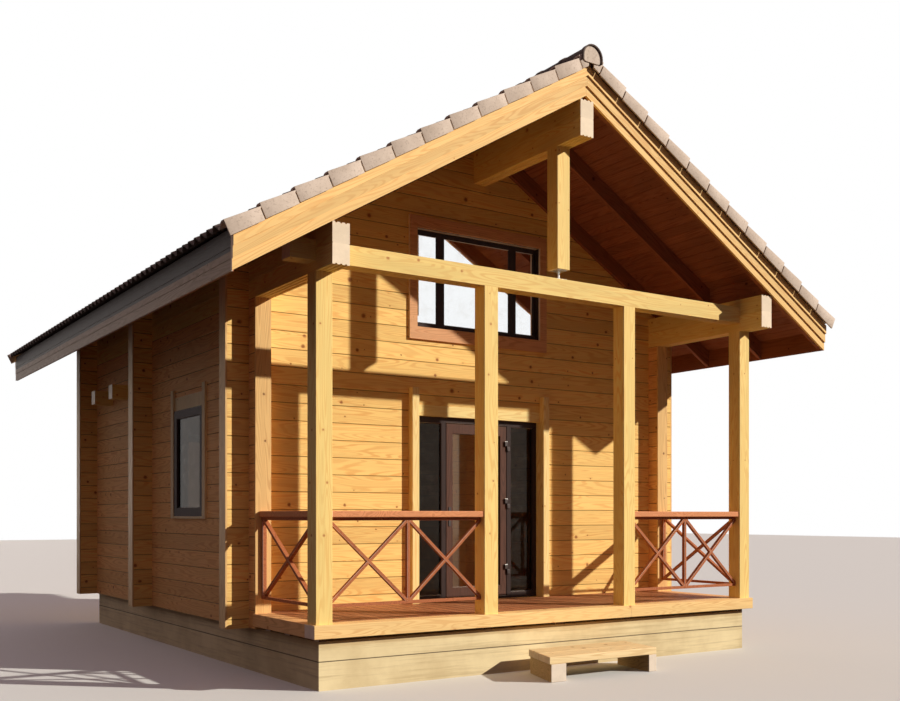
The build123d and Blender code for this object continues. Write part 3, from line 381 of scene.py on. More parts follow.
dress(eave_pine, "eave_beams")
dress(ridge_pine, "ridge_purlin")


# King post jack: a threaded rod between two square plates, with a hexagon nut and a washer at
# each end, which is turned down as the timbers settle. Zinc-plated steel.
def select_only(*pieces):
    """Leaves edit mode, with just these pieces selected and the first one active."""
    if bpy.context.object and bpy.context.object.mode != "OBJECT":
        bpy.ops.object.mode_set(mode="OBJECT")
    bpy.ops.object.select_all(action="DESELECT")
    for piece in pieces:
        piece.select_set(True)
    bpy.context.view_layer.objects.active = pieces[0]


def applied(piece, kind, **settings):
    """Adds one modifier with its settings and applies it."""
    select_only(piece)
    bpy.ops.object.modifier_add(type=kind)
    modifier = piece.modifiers[-1]
    for name, setting in settings.items():
        setattr(modifier, name, setting)
    bpy.ops.object.modifier_apply(modifier=modifier.name)
    return piece


def settled(piece):
    """Puts a piece's place and turn into its mesh."""
    select_only(piece)
    bpy.ops.object.transform_apply(location=True, rotation=True, scale=True)
    return piece


def finished(piece, name, material, body="house", stands_for=()):
    """Gives a shaped piece its name, finish, material slot and the body that it rides on."""
    settled(piece)
    piece.name = name
    piece.data.name = name
    piece.data.materials.clear()
    piece.data.materials.append(material)
    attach(piece, body)
    if stands_for:
        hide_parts(*stands_for)
    return piece


def joined(pieces):
    """Makes one piece of several."""
    select_only(*pieces)
    bpy.ops.object.join()
    return bpy.context.object


def opened(piece):
    """Opens a piece for editing with all of it selected."""
    select_only(piece)
    bpy.ops.object.mode_set(mode="EDIT")
    bpy.ops.mesh.select_all(action="SELECT")


def picked(piece, passes):
    """Opens a piece for editing with just the points that pass selected."""
    select_only(piece)
    for group in (piece.data.polygons, piece.data.edges):
        for item in group:
            item.select = False
    for point in piece.data.vertices:
        point.select = bool(passes(point.co))
    bpy.ops.object.mode_set(mode="EDIT")
    bpy.ops.mesh.select_mode(type="VERT")


def steel_material(name, base, rust, metallic, rough):
    """Metal with faint stains and uneven gloss."""
    material, tree, shader, place = new_material(name, metallic, 0.5)
    stain = noise(tree, place, 30, 4, 0.6)
    grain = noise(tree, place, 220, 2, 0.5)
    shade = blended(tree, ramp(tree, stain, 0.4, 0.75, 0, 0.6), base, rust)
    gloss = ramp(tree, stain, 0.2, 0.8, rough, rough + 0.22)
    surfaced(tree, shader, shade, gloss, grain, 0.25, 0.0004)
    return material


zinc = steel_material("Zinc-plated steel", colour(208, 206, 200), colour(160, 150, 138), 0.85, 0.32)
dress(zinc, "king_post_jack")
JACK_LOW, JACK_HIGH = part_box("king_post_jack")
JACK_PLATE = 0.008
NUT_HEIGHT = 0.019
NUT_RADIUS = 0.021
WASHER_HEIGHT = 0.004
WASHER_RADIUS = 0.028
jack_x = (JACK_LOW.x + JACK_HIGH.x) / 2
jack_y = (JACK_LOW.y + JACK_HIGH.y) / 2
nuts = []
for plate_face, inward in ((JACK_LOW.z + JACK_PLATE, 1), (JACK_HIGH.z - JACK_PLATE, -1)):
    bpy.ops.mesh.primitive_cylinder_add(
        vertices=6, radius=NUT_RADIUS, depth=NUT_HEIGHT,
        location=(jack_x, jack_y, plate_face + inward * (WASHER_HEIGHT + NUT_HEIGHT / 2)),
    )
    nuts.append(applied(bpy.context.object, "BEVEL", width=0.002, segments=2))
    bpy.ops.mesh.primitive_cylinder_add(
        vertices=28, radius=WASHER_RADIUS, depth=WASHER_HEIGHT,
        location=(jack_x, jack_y, plate_face + inward * WASHER_HEIGHT / 2),
    )
    nuts.append(applied(bpy.context.object, "BEVEL", width=0.001, segments=1, limit_method="ANGLE"))
finished(joined(nuts), "jack_nuts", zinc)


# Terrace: thick pine rim timbers with eased edges on packers over the foundation, coloured dark as
# painted shadow in the gap under the rims, and reeded deck boards, oiled brown, that run to the
# back between them and are screwed to joists.
def eased(node, width, material, body="house"):
    """A copy of a CAD node with its sharp edges taken off, which stands for it."""
    mesh = nodes[node].data.copy()
    piece = bpy.data.objects.new(node + "_eased", mesh)
    bpy.context.collection.objects.link(piece)
    opened(piece)
    bpy.ops.mesh.remove_doubles(threshold=0.00005)
    bpy.ops.mesh.dissolve_limited(angle_limit=math.radians(1))
    applied(
        piece, "BEVEL", width=width, segments=2, limit_method="ANGLE", angle_limit=math.radians(40)
    )
    return finished(piece, node + "_eased", material, body, (node,))


def reopened(material):
    """What a timber material is made of: its tree, its shader, what its figure gives, its place."""
    tree = material.node_tree
    figure = next(node for node in tree.nodes if node.type == "GROUP").outputs
    place = next(node for node in tree.nodes if node.type == "TEX_COORD").outputs["Object"]
    return tree, tree.nodes["Principled BSDF"], figure, place


OILED_KNOT = colour(96, 52, 30)
OILED = (colour(204, 136, 90), colour(148, 84, 52), OILED_KNOT)
DECK_PITCH = 0.146
DECK_FIRST_GAP = -2.555
DECK_REEDS = 5
rim_pine = timber(
    "Pine rim timbers", (colour(255, 214, 146), colour(222, 164, 100), PINE_KNOT), ALONG_X, ALONG_Z,
    spacing=0.4,
)
# The side rims are redder and darker than the front rims: painted shade.
shaded_rim_side_pine = timber(
    "Pine side rim timbers with painted shade", (colour(240, 186, 126), colour(204, 144, 90), PINE_KNOT),
    ALONG_Y, ALONG_Z, spacing=0.4,
)
deck_boards = timber(
    "Oiled deck boards", OILED, ALONG_Y, ALONG_X, DECK_PITCH, DECK_FIRST_GAP,
    knot_size=0.01, joint=0.014,
)
eased("rim_front_long", 0.004, rim_pine)
eased("rim_front_short", 0.004, rim_pine)
eased("rim_sides", 0.004, shaded_rim_side_pine)
# The packers' dark colour is painted shadow in the gap between rim and foundation.
painted_shadow_packers = timber(
    "Packers dark as painted shadow", (colour(120, 84, 56), colour(84, 56, 38), PINE_KNOT), ALONG_X, ALONG_Z,
)
dress(painted_shadow_packers, "rim_packers")
tree, shader, figure, place = reopened(deck_boards)
# Reeds: a fine groove in each fifth of a board, sunk in the bump and darkened in colour as painted
# shade.
sideways = sums(tree, "SUBTRACT", parts_of(tree, place)[0], DECK_FIRST_GAP)
reed = sums(tree, "PINGPONG", sideways, DECK_PITCH / DECK_REEDS / 2)
groove = ramp(tree, reed, 0.0075, 0.0035)
painted_groove_shade = blended(tree, 1.0, figure["Color"], colour(136, 116, 104), "MULTIPLY")
reeded = blended(tree, sums(tree, "MULTIPLY", groove, 0.8), figure["Color"], painted_groove_shade)
height = sums(tree, "SUBTRACT", figure["Height"], sums(tree, "MULTIPLY", groove, 1.2))
surfaced(tree, shader, reeded, figure["Roughness"], height, 0.5, 0.003)
dress(deck_boards, "deck")
dress(rim_pine, "deck_joists")

# Railings: battens on edge, halved over each other in crossed bays, under a planed handrail that
# overhangs them to the front of the posts. Oiled brown.
BATTEN = 0.030
BATTEN_DEPTH = 0.044
UPRIGHT_DEPTH = 0.042
HALVING_GAP = 0.003
POST_FACES = (1.015, 2.695)
FRONT_RAIL_Y = -1.440
SIDE_RAIL_X = 2.780
SIDE_RAIL_YS = (-1.351, -0.170)
SIDE_UPRIGHT_Y = SIDE_RAIL_YS[1] - 0.0225
HANDRAIL_WIDTH = 0.095
HANDRAIL_SETBACK = 0.012
HANDRAIL_EASING = 0.007
RAIL_GRAIN = (0.7071, 0.7071, 0)
RAIL_LOW, RAIL_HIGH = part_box("railings")
HANDRAIL_LOW, HANDRAIL_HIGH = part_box("handrails")


def batten(start, end, depth=BATTEN_DEPTH, height=BATTEN, easing=0.003):
    """A planed batten from one point to another, with its edges eased."""
    start, end = Vector(start), Vector(end)
    run = end - start
    bpy.ops.mesh.primitive_cube_add(size=1, location=(start + end) / 2)
    piece = bpy.context.object
    if abs(run.z) == run.length:
        piece.scale = (height, depth, run.length)
    else:
        piece.rotation_mode = "QUATERNION"
        piece.rotation_quaternion = run.to_track_quat("X", "Z")
        piece.scale = (run.length, depth, height)
    settled(piece)
    return applied(piece, "BEVEL", width=easing, segments=2)


def mirrored(piece, axis=0, middle=0.0):
    """The same piece on the other side of the house, with its faces outward."""
    copy = bpy.data.objects.new(piece.name + "_other", piece.data.copy())
    bpy.context.collection.objects.link(copy)
    copy.scale[axis] = -1.0
    copy.location[axis] = 2 * middle
    opened(settled(copy))
    bpy.ops.mesh.normals_make_consistent(inside=False)
    bpy.ops.object.mode_set(mode="OBJECT")
    return copy


def finished_pair(right, name, material, right_for=(), left_for=()):
    """Finishes a piece on the right and its mirror image on the left."""
    left = mirrored(right)
    finished(right, name + "_right", material, "house", right_for)
    finished(left, name + "_left", material, "house", left_for)


def braced_bay(start, end):
    """Two crossed battens from corner to corner between the top and the bottom batten."""
    low = RAIL_LOW.z + BATTEN
    high = RAIL_HIGH.z - BATTEN
    (x0, y0), (x1, y1) = start, end
    first = batten((x0, y0, low), (x1, y1, high))
    second = batten((x0, y0, high), (x1, y1, low), BATTEN_DEPTH - HALVING_GAP)
    return [first, second]


def rail_ends(level, y=FRONT_RAIL_Y):
    """The ends of the front rail and of the side rail at one level."""
    front = ((POST_FACES[0], y, level), (POST_FACES[1], y, level))
    side = ((SIDE_RAIL_X, SIDE_RAIL_YS[0], level), (SIDE_RAIL_X, SIDE_RAIL_YS[1], level))
    return front, side


def upright_ends(x, y):
    """The foot and the head of an upright batten."""
    return (x, y, RAIL_LOW.z + BATTEN / 2), (x, y, RAIL_HIGH.z - BATTEN / 2)


front_middle = sum(POST_FACES) / 2
rails = []
for level in (RAIL_LOW.z + BATTEN / 2, RAIL_HIGH.z - BATTEN / 2):
    rails += [batten(*ends) for ends in rail_ends(level)]
rails.append(batten(*upright_ends(front_middle, FRONT_RAIL_Y), UPRIGHT_DEPTH))
rails.append(batten(*upright_ends(SIDE_RAIL_X, SIDE_UPRIGHT_Y), BATTEN, UPRIGHT_DEPTH))
for near, far in (
    (POST_FACES[0], front_middle - BATTEN / 2), (front_middle + BATTEN / 2, POST_FACES[1])
):
    rails += braced_bay((near, FRONT_RAIL_Y), (far, FRONT_RAIL_Y))
rails += braced_bay((SIDE_RAIL_X, SIDE_RAIL_YS[0]), (SIDE_RAIL_X, SIDE_UPRIGHT_Y - BATTEN / 2))
railing_timber = timber(
    "Oiled railing battens", (colour(186, 112, 72), colour(136, 72, 44), OILED_KNOT),
    RAIL_GRAIN, ALONG_Z, spacing=0.5, knot_size=0.006,
)
finished_pair(joined(rails), "railing_battens", railing_timber, ("railings",))
oiled_timber = timber(
    "Oiled handrails", (colour(226, 152, 104), colour(186, 112, 70), OILED_KNOT),
    RAIL_GRAIN, ALONG_Z, spacing=0.5, knot_size=0.008,
)
handrail_z = (HANDRAIL_LOW.z + HANDRAIL_HIGH.z) / 2
handrail_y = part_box("posts")[0].y + HANDRAIL_SETBACK + HANDRAIL_WIDTH / 2
handrail_size = (HANDRAIL_WIDTH, HANDRAIL_HIGH.z - HANDRAIL_LOW.z, HANDRAIL_EASING)
hands = [batten(*ends, *handrail_size) for ends in rail_ends(handrail_z, handrail_y)]
finished_pair(joined(hands), "handrails", oiled_timber, ("handrails",))

# Floors: planed spruce boards nailed to joists, downstairs on the foundation and upstairs on the
# beams over the back room. They show only through the glass.
FLOOR_BOARD = 0.14
floor_boards = timber(
    "Planed floor boards", (colour(222, 176, 120), colour(186, 132, 80), SPRUCE_KNOT),
    ALONG_Y, ALONG_X, FLOOR_BOARD, 0.0, knot_size=0.008,
)
dress(floor_boards, "ground_floor", "upper_floor", "ground_floor_joists")

# Roof timbers: rafters on edge, the blocking between them over the eave timbers, and the battens
# that the tiles hang on. Sawn spruce, stained a dark reddish brown against the weather.
PITCH = math.radians(30.8)
BLOCKING_BOARD = 0.0984
FASCIA_LOW, FASCIA_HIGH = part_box("fascias")
DOWN_SLOPE = (math.cos(PITCH), 0, -math.sin(PITCH))
OFF_SLOPE = (math.sin(PITCH), 0, math.cos(PITCH))
RIDGE_UNDERSIDE = EAVE_HIGH.z + math.tan(PITCH) * EAVE_HIGH.x
STAINED_KNOT = colour(74, 36, 24)
STAINED = (colour(160, 98, 72), colour(116, 64, 46), STAINED_KNOT)
stained_slope = timber("Stained rafters", STAINED, DOWN_SLOPE, ALONG_Y, spacing=0.5, sloped=True)
stained_along = timber(
    "Stained eave timbers", STAINED, ALONG_Y, ALONG_Z, BLOCKING_BOARD, FASCIA_LOW.z,
    spacing=0.5, sloped=True,
)
dress(stained_slope, "rafters")
dress(stained_along, "eave_blocking", "tile_battens")

# Fascias: a board along the rafter ends on each eave, greyed below, with painted shade along its
# top where the tiles overhang it. Stained softwood, nailed to the rafters; its inner face has kept
# the reddish stain.
FASCIA_PALE_HEIGHT = 0.162
FASCIA_INNER = 0.020
fascia_finish = timber(
    "Greyed fascia boards with painted top shade", (colour(176, 150, 128), colour(134, 108, 88), STAINED_KNOT),
    ALONG_Y, ALONG_Z, spacing=0.5, knot_size=0.01,
)
tree, shader, figure, place = reopened(fascia_finish)
parts = parts_of(tree, place)
pale_top = FASCIA_LOW.z + FASCIA_PALE_HEIGHT
# The band above the pale height is darkened as painted shade under the tile overhang.
upper = ramp(tree, parts[2], pale_top - 0.002, pale_top + 0.002)
dark = blended(tree, 1.0, figure["Color"], colour(74, 62, 64), "MULTIPLY")
outside = blended(tree, upper, figure["Color"], dark)
inside = blended(tree, 1.0, figure["Color"], colour(214, 150, 120), "MULTIPLY")
out = sums(tree, "ABSOLUTE", parts[0])
outer = ramp(tree, out, FASCIA_HIGH.x - FASCIA_INNER, FASCIA_HIGH.x - FASCIA_INNER / 2)
tree.links.new(blended(tree, outer, inside, outside), shader.inputs["Base Color"])
dress(fascia_finish, "fascias")


# Eave closure: a strip on top of each fascia that fills the space up to the rolls of the
# lowest tiles, stained dark and darker still as painted shade under the tiles. Stained softwood,
# nailed down on the fascia from above.
def block(middle, size, easing, segments=2, tilt=0.0):
    """A planed block with its edges eased; tilt turns it down the right slope."""
    bpy.ops.mesh.primitive_cube_add(size=1, location=middle, rotation=(0, tilt, 0), scale=size)
    return applied(settled(bpy.context.object), "BEVEL", width=easing, segments=segments)


CLOSURE_WIDTH = 0.018
CLOSURE_HEIGHT = 0.078
CLOSURE_SINK = 0.020
CLOSURE_INSET = 0.001
CLOSURE_END_GAP = 0.002
closure = block(
    (FASCIA_HIGH.x - CLOSURE_WIDTH / 2 - CLOSURE_INSET, (FASCIA_LOW.y + FASCIA_HIGH.y) / 2,
     FASCIA_HIGH.z + CLOSURE_HEIGHT / 2 - CLOSURE_SINK),
    (CLOSURE_WIDTH, FASCIA_HIGH.y - FASCIA_LOW.y - 2 * CLOSURE_END_GAP, CLOSURE_HEIGHT),
    easing=0.003, segments=1,
)
# The strip's near-black colour is partly its dark stain and partly painted shade under the tiles.
dark_shaded_strip = timber(
    "Dark eave strip with painted shade", (colour(70, 58, 54), colour(52, 42, 40), STAINED_KNOT), ALONG_Y, ALONG_Z,
    spacing=0.7,
)
finished_pair(closure, "eave_closure", dark_shaded_strip)


# Soffit: narrow spruce boards with eased edges, nailed side by side over the rafters from the
# ridge to the eaves, with the same reddish stain as the rafters.
def roof_point(along, up, y=0.0):
    """Point on the right slope, along it from the ridge and up square to it."""
    x = along * DOWN_SLOPE[0] + up * OFF_SLOPE[0]
    return Vector((x, y, RIDGE_UNDERSIDE + along * DOWN_SLOPE[2] + up * OFF_SLOPE[2]))


def repeated(piece, count, step):
    """Copies a piece count times, each copy one step on from the last."""
    return applied(
        piece, "ARRAY", count=count, use_relative_offset=False, use_constant_offset=True,
        constant_offset_displace=step,
    )


RAFTER_DEPTH = 0.180
SOFFIT_THICKNESS = 0.020
SOFFIT_PITCH = 0.1216
SOFFIT_GAP = 0.002
SOFFIT_BOARDS = 36
SOFFIT_FIRST = -0.107
soffit_finish = timber(
    "Stained soffit boards", STAINED, ALONG_Y, DOWN_SLOPE, SOFFIT_PITCH,
    RIDGE_UNDERSIDE * DOWN_SLOPE[2] + SOFFIT_FIRST, spacing=0.6, knot_size=0.011, sloped=True,
)
boards_low, boards_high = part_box("roof_boards")
soffit = block(
    roof_point(
        SOFFIT_FIRST + SOFFIT_PITCH / 2, RAFTER_DEPTH + SOFFIT_THICKNESS / 2,
        (boards_low.y + boards_high.y) / 2,
    ),
    (SOFFIT_PITCH - SOFFIT_GAP, boards_high.y - boards_low.y, SOFFIT_THICKNESS),
    easing=0.005, segments=1, tilt=PITCH,
)
repeated(soffit, SOFFIT_BOARDS, Vector(DOWN_SLOPE) * SOFFIT_PITCH)
finished_pair(soffit, "soffit_boards", soffit_finish, ("roof_boards",))

# Bargeboards: a wide planed pine board up each verge, nailed to the ends of the roof timbers, with
# two narrower ones lapped over its upper part.
BARGE_FIGURE = 0.0855
barge_pine = timber(
    "Pine bargeboards", (colour(255, 212, 140), colour(230, 168, 98), PINE_KNOT), DOWN_SLOPE,
    OFF_SLOPE, BARGE_FIGURE, RIDGE_UNDERSIDE * OFF_SLOPE[2], spacing=0.5, knot_size=0.01,
    sloped=True,
)
dress(barge_pine, "bargeboards")


# Roof tiles: double-roll concrete tiles, each hung on a batten and tipped a little so that its
# lower edge lies on the next one down. The face is sanded and weathered.
def tile_material(name, body_colour, worn_colour, dark_colour):
    """Sanded concrete with cloudy wear and darker specks and grit."""
    material, tree, shader, place = new_material(name)
    cloud = noise(tree, place, 2.6, 5, 0.65)
    grit = noise(tree, place, 140, 3, 0.7)
    speck = noise(tree, place, 46, 4, 0.6)
    shade = blended(tree, ramp(tree, cloud, 0.35, 0.7), body_colour, worn_colour)
    shade = blended(tree, ramp(tree, speck, 0.52, 0.7, 0, 0.5), shade, dark_colour)
    shade = blended(tree, ramp(tree, grit, 0.5, 0.8, 0, 0.35), shade, dark_colour)
    height = sums(tree, "ADD", sums(tree, "MULTIPLY", grit, 0.6), speck)
    surfaced(tree, shader, shade, ramp(tree, grit, 0, 1, 0.78, 0.97), height, 0.5, 0.0015)
    return material


def shifted(piece, passes, way):
    """Moves the points of a piece that pass."""
    picked(piece, passes)
    bpy.ops.transform.translate(value=way)
    bpy.ops.object.mode_set(mode="OBJECT")


def flat_tile(start, width, heights, lengthways=1):
    """A tile's face, from its lower edge at x 0 up the slope, with its lines at their heights."""
    steps = len(heights) - 1
    bpy.ops.mesh.primitive_grid_add(
        x_subdivisions=lengthways, y_subdivisions=steps, size=1,
        location=(-TILE_LENGTH / 2, start + width / 2, 0),
    )
    bpy.context.object.scale = (TILE_LENGTH, width, 1)
    piece = settled(bpy.context.object)
    for column, height in enumerate(heights):
        edge = start + column * width / steps
        shifted(piece, lambda point: abs(point.y - edge) < NEAR, (0, 0, (height - 1) * TILE_ROLL))
    return piece


def laid_on_slope(piece, lower_edge, up):
    """Puts a tile, drawn lying flat with its lower edge at the origin, in its course."""
    piece.rotation_euler = (0, PITCH - TILE_TIP, 0)
    piece.location = roof_point(lower_edge, up)
    return settled(piece)


def smoothed(piece, degrees):
    """Shades a piece smooth, with a crease wherever it turns by more than these degrees."""
    select_only(piece)
    bpy.ops.object.shade_smooth_by_angle(angle=math.radians(degrees))


roof_tile = tile_material(
    "Sanded roof tile", colour(116, 100, 92), colour(92, 80, 76), colour(66, 57, 54)
)
NEAR = 0.001
TILE_COURSES = 12
TILE_COLUMNS = 28
TILE_FIRST = -0.032
BATTEN_TOP = 0.257
EAVE_TILE_X = 3.836
TILE_END = (EAVE_TILE_X - BATTEN_TOP * math.sin(PITCH)) / math.cos(PITCH)
TILE_GAUGE = (TILE_END - TILE_FIRST) / TILE_COURSES
TILE_TOP_UPPER = 0.352
TILE_TOP_LOWER = 0.382
TILE_TIP = math.atan((TILE_TOP_LOWER - TILE_TOP_UPPER) / TILE_GAUGE)
TILE_LAP = 0.050
TILE_LENGTH = TILE_GAUGE + TILE_LAP
TILE_SHELL = 0.012
TILE_ROLL = 0.038
TILE_UNDER_VERGE = 0.002
ROLL_SHAPE = (0, 0.62, 1, 1, 0.62, 0, 0, 0.62, 1, 1, 0.62, 0, 0)
VERGE_WIDTH = 0.170
ROOF_LOW, ROOF_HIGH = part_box("tiles_right")
TILE_COVER = (ROOF_HIGH.y - ROOF_LOW.y - 2 * VERGE_WIDTH) / TILE_COLUMNS
tile = flat_tile(ROOF_LOW.y + VERGE_WIDTH, TILE_COVER, ROLL_SHAPE)
applied(tile, "SOLIDIFY", thickness=TILE_SHELL, offset=-1)
laid_on_slope(tile, TILE_FIRST + TILE_GAUGE, TILE_TOP_LOWER - TILE_UNDER_VERGE)
repeated(tile, TILE_COURSES, Vector(DOWN_SLOPE) * TILE_GAUGE)
repeated(tile, TILE_COLUMNS, (0, TILE_COVER, 0))
smoothed(tile, 40)
finished_pair(tile, "field_tiles", roof_tile, ("tiles_right",), ("tiles_left",))

# Verge tiles: the last concrete tile of each course turns down over the bargeboards in a flange;
# a thin dark joint shows between two flanges, and a cut tile closes the verge at the ridge.
VERGE_SHAPE = (1, 1, 1, 0.8, 0.3, 0, 0)
VERGE_FLANGE = 0.018
VERGE_JOINT = 0.013
VERGE_CUT_X = 0.034
FLANGE_DEPTH = 0.137
FLANGE_RISE = 0.023
FLANGE_START = -TILE_LENGTH + TILE_LAP + VERGE_JOINT
verge_tile = tile_material(
    "Pale verge tile", colour(232, 212, 194), colour(208, 188, 170), colour(164, 144, 130)
)
verge = flat_tile(ROOF_LOW.y, VERGE_WIDTH, VERGE_SHAPE, 2)
shifted(
    verge, lambda point: abs(point.x + TILE_LENGTH / 2) < NEAR,
    (FLANGE_START + TILE_LENGTH / 2, 0, 0),
)
picked(verge, lambda point: point.y < ROOF_LOW.y + NEAR and point.x > FLANGE_START - NEAR)
bpy.ops.mesh.extrude_region_move(TRANSFORM_OT_translate={"value": (0, 0, -FLANGE_DEPTH)})
shifted(
    verge, lambda point: point.z < NEAR - FLANGE_DEPTH and point.x < -TILE_LENGTH / 2,
    (0, 0, FLANGE_RISE),
)
applied(verge, "SOLIDIFY", thickness=VERGE_FLANGE, offset=-1)
applied(verge, "BEVEL", width=0.005, segments=2, limit_method="ANGLE", angle_limit=math.radians(50))
laid_on_slope(verge, TILE_FIRST, TILE_TOP_LOWER)
repeated(verge, TILE_COURSES + 1, Vector(DOWN_SLOPE) * TILE_GAUGE)
opened(verge)
bpy.ops.mesh.bisect(
    plane_co=(VERGE_CUT_X, 0, 0), plane_no=(-1, 0, 0), clear_outer=True, use_fill=True
)
smoothed(verge, 35)
both_verges = joined([verge, mirrored(verge, 1, (ROOF_LOW.y + ROOF_HIGH.y) / 2)])
finished_pair(both_verges, "verge_tiles", verge_tile)

# Ridge tiles: half-round shells bedded over both slopes, each with a wider collar that laps the
# next one, and a disc that closes each end of the row.
RIDGE_LOW, RIDGE_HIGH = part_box("ridge_tiles")
RIDGE_RADIUS = (RIDGE_HIGH.x - RIDGE_LOW.x) / 2
RIDGE_CENTRE = RIDGE_HIGH.z - RIDGE_RADIUS
RIDGE_COUNT = 23
RIDGE_COVER = (RIDGE_HIGH.y - RIDGE_LOW.y) / RIDGE_COUNT
RIDGE_COLLAR = 0.050
COLLAR_EDGE = 0.004
COLLAR_STEP = 0.93
RIDGE_LEG = 0.045
RIDGE_SHELL = 0.014
bpy.ops.mesh.primitive_circle_add(
    vertices=28, radius=RIDGE_RADIUS, fill_type="NOTHING",
    location=(0, RIDGE_LOW.y, RIDGE_CENTRE), rotation=(math.radians(90), 0, 0),
)
ridge = settled(bpy.context.object)
picked(ridge, lambda point: point.z < RIDGE_CENTRE - NEAR)
bpy.ops.mesh.delete(type="VERT")
picked(ridge, lambda point: abs(point.x) > RIDGE_RADIUS - NEAR)
bpy.ops.mesh.extrude_vertices_move(TRANSFORM_OT_translate={"value": (0, 0, -RIDGE_LEG)})
bpy.ops.mesh.select_all(action="SELECT")
bpy.ops.mesh.extrude_edges_move(TRANSFORM_OT_translate={"value": (0, RIDGE_COLLAR, 0)})
bpy.ops.mesh.extrude_edges_move(TRANSFORM_OT_translate={"value": (0, COLLAR_EDGE, 0)})
bpy.ops.transform.resize(
    value=(COLLAR_STEP, 1, COLLAR_STEP),
    center_override=(0, RIDGE_LOW.y + RIDGE_COLLAR, RIDGE_CENTRE),
)
bpy.ops.mesh.extrude_edges_move(
    TRANSFORM_OT_translate={"value": (0, RIDGE_COVER - RIDGE_COLLAR - COLLAR_EDGE, 0)}
)
bpy.ops.mesh.select_all(action="SELECT")
bpy.ops.mesh.normals_make_consistent(inside=False)
applied(ridge, "SOLIDIFY", thickness=RIDGE_SHELL, offset=-1)
repeated(ridge, RIDGE_COUNT, (0, RIDGE_COVER, 0))
smoothed(ridge, 40)
finished(ridge, "ridge_tile_row", roof_tile, "house", ("ridge_tiles",))
eased("ridge_end_caps", 0.003, verge_tile)

# Window casings and frames: pale planed boards round each opening of the ground floor, nailed to
# the wall rows, and brown stained timber frames behind them and in the gables.
pale_casing = timber(
    "Pale window boards", (colour(248, 226, 178), colour(222, 188, 134), PINE_KNOT),
    ALONG_Z, ALONG_X, spacing=0.6, knot_size=0.008,
)
brown_frame = timber(
    "Brown stained frames", (colour(58, 44, 40), colour(40, 30, 28), colour(26, 18, 16)),
    ALONG_Z, ALONG_X, spacing=0.9, knot_size=0.004,
)
dress(pale_casing, "window_casings")
dress(brown_frame, "window_frames", "gable_frames")


# Gable window: sealed panes in the front of a three-part frame, with a dark lining of thin
# boards round the opening that joins the frame to the reddish casing boards.
BEAD_WIDTH = 0.006
BEAD_DEPTH = 0.010


def glass_material(name, tint, metallic, transmission, rough, index=1.2):
    """Sealed glass, faintly wavy; metallic is the share that the two panes throw back."""
    material, tree, shader, place = new_material(name, metallic, 0.5)
    shader.inputs["Transmission Weight"].default_value = transmission
    shader.inputs["IOR"].default_value = index
    wave = noise(tree, place, 1.6, 2, 0.5)
    dust = noise(tree, place, 9, 4, 0.6)
    shade = blended(tree, ramp(tree, dust, 0.4, 0.9, 0, 0.25), tint, colour(210, 205, 195))
    gloss = ramp(tree, dust, 0.3, 0.9, rough, rough + 0.05)
    surfaced(tree, shader, shade, gloss, wave, 0.08, 0.004)
    return material


def upright_span(node):
    """The middle height of a CAD node, and half of its height."""
    low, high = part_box(node)
    return (low.z + high.z) / 2, (high.z - low.z) / 2


def bead(middle, half_width, half_height, turn, width=BEAD_WIDTH, depth=BEAD_DEPTH):
    """A mitred ring of square bead just inside an outline; turn faces it outward."""
    bpy.ops.mesh.primitive_plane_add(size=2, location=middle, rotation=(math.radians(90), 0, turn))
    piece = bpy.context.object
    piece.scale = (half_width, half_height, 1)
    opened(settled(piece))
    bpy.ops.mesh.select_mode(type="FACE")
    bpy.ops.mesh.inset(thickness=width)
    bpy.ops.mesh.delete(type="FACE")
    applied(piece, "SOLIDIFY", thickness=depth, offset=1)
    return applied(piece, "BEVEL", width=min(width, depth) / 4, segments=2)


gable_casing = timber(
    "Reddish casing boards", (colour(238, 178, 128), colour(196, 130, 86), colour(96, 52, 32)),
    ALONG_X, ALONG_Z, spacing=0.45, knot_size=0.01,
)
gable_pane = glass_material("Bright gable glass", colour(252, 254, 255), 0.93, 0.9, 0.01, 1.3)
dress(gable_casing, "gable_casings")
GLASS_FORWARD = 0.018
LINING = 0.006
GABLE_SILL, GABLE_TOP, GABLE_HALF = 3.700, 4.815, 0.870
GABLE_PANES = ((0.0, 0.465), (-0.695, 0.135), (0.695, 0.135))
gable_glass = eased("gable_glass", 0.001, gable_pane)
glass_low, glass_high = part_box("gable_glass")
frame_low, frame_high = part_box("gable_frames")
between_gables = (frame_low.y + frame_high.y) / 2
for outward in (-1, 1):
    shifted(
        gable_glass, lambda point: (point.y - between_gables) * outward > 0,
        (0, outward * GLASS_FORWARD, 0),
    )
linings = []
for wall_y, frame_y, turn in (
    (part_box("front_gable")[0].y, frame_low.y, 0), (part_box("back_wall")[1].y, frame_high.y, math.pi)
):
    linings.append(bead(
        (0, frame_y, (GABLE_SILL + GABLE_TOP) / 2), GABLE_HALF, (GABLE_TOP - GABLE_SILL) / 2, turn,
        LINING, abs(wall_y - frame_y),
    ))
finished(joined(linings), "gable_linings", brown_frame)
beads = []
gable_z, gable_half = upright_span("gable_glass")
for face_y, turn in ((glass_low.y - GLASS_FORWARD, 0), (glass_high.y + GLASS_FORWARD, math.pi)):
    for pane_x, pane_half in GABLE_PANES:
        beads.append(bead((pane_x, face_y, gable_z), pane_half, gable_half, turn))
finished(joined(beads), "gable_beads", brown_frame)

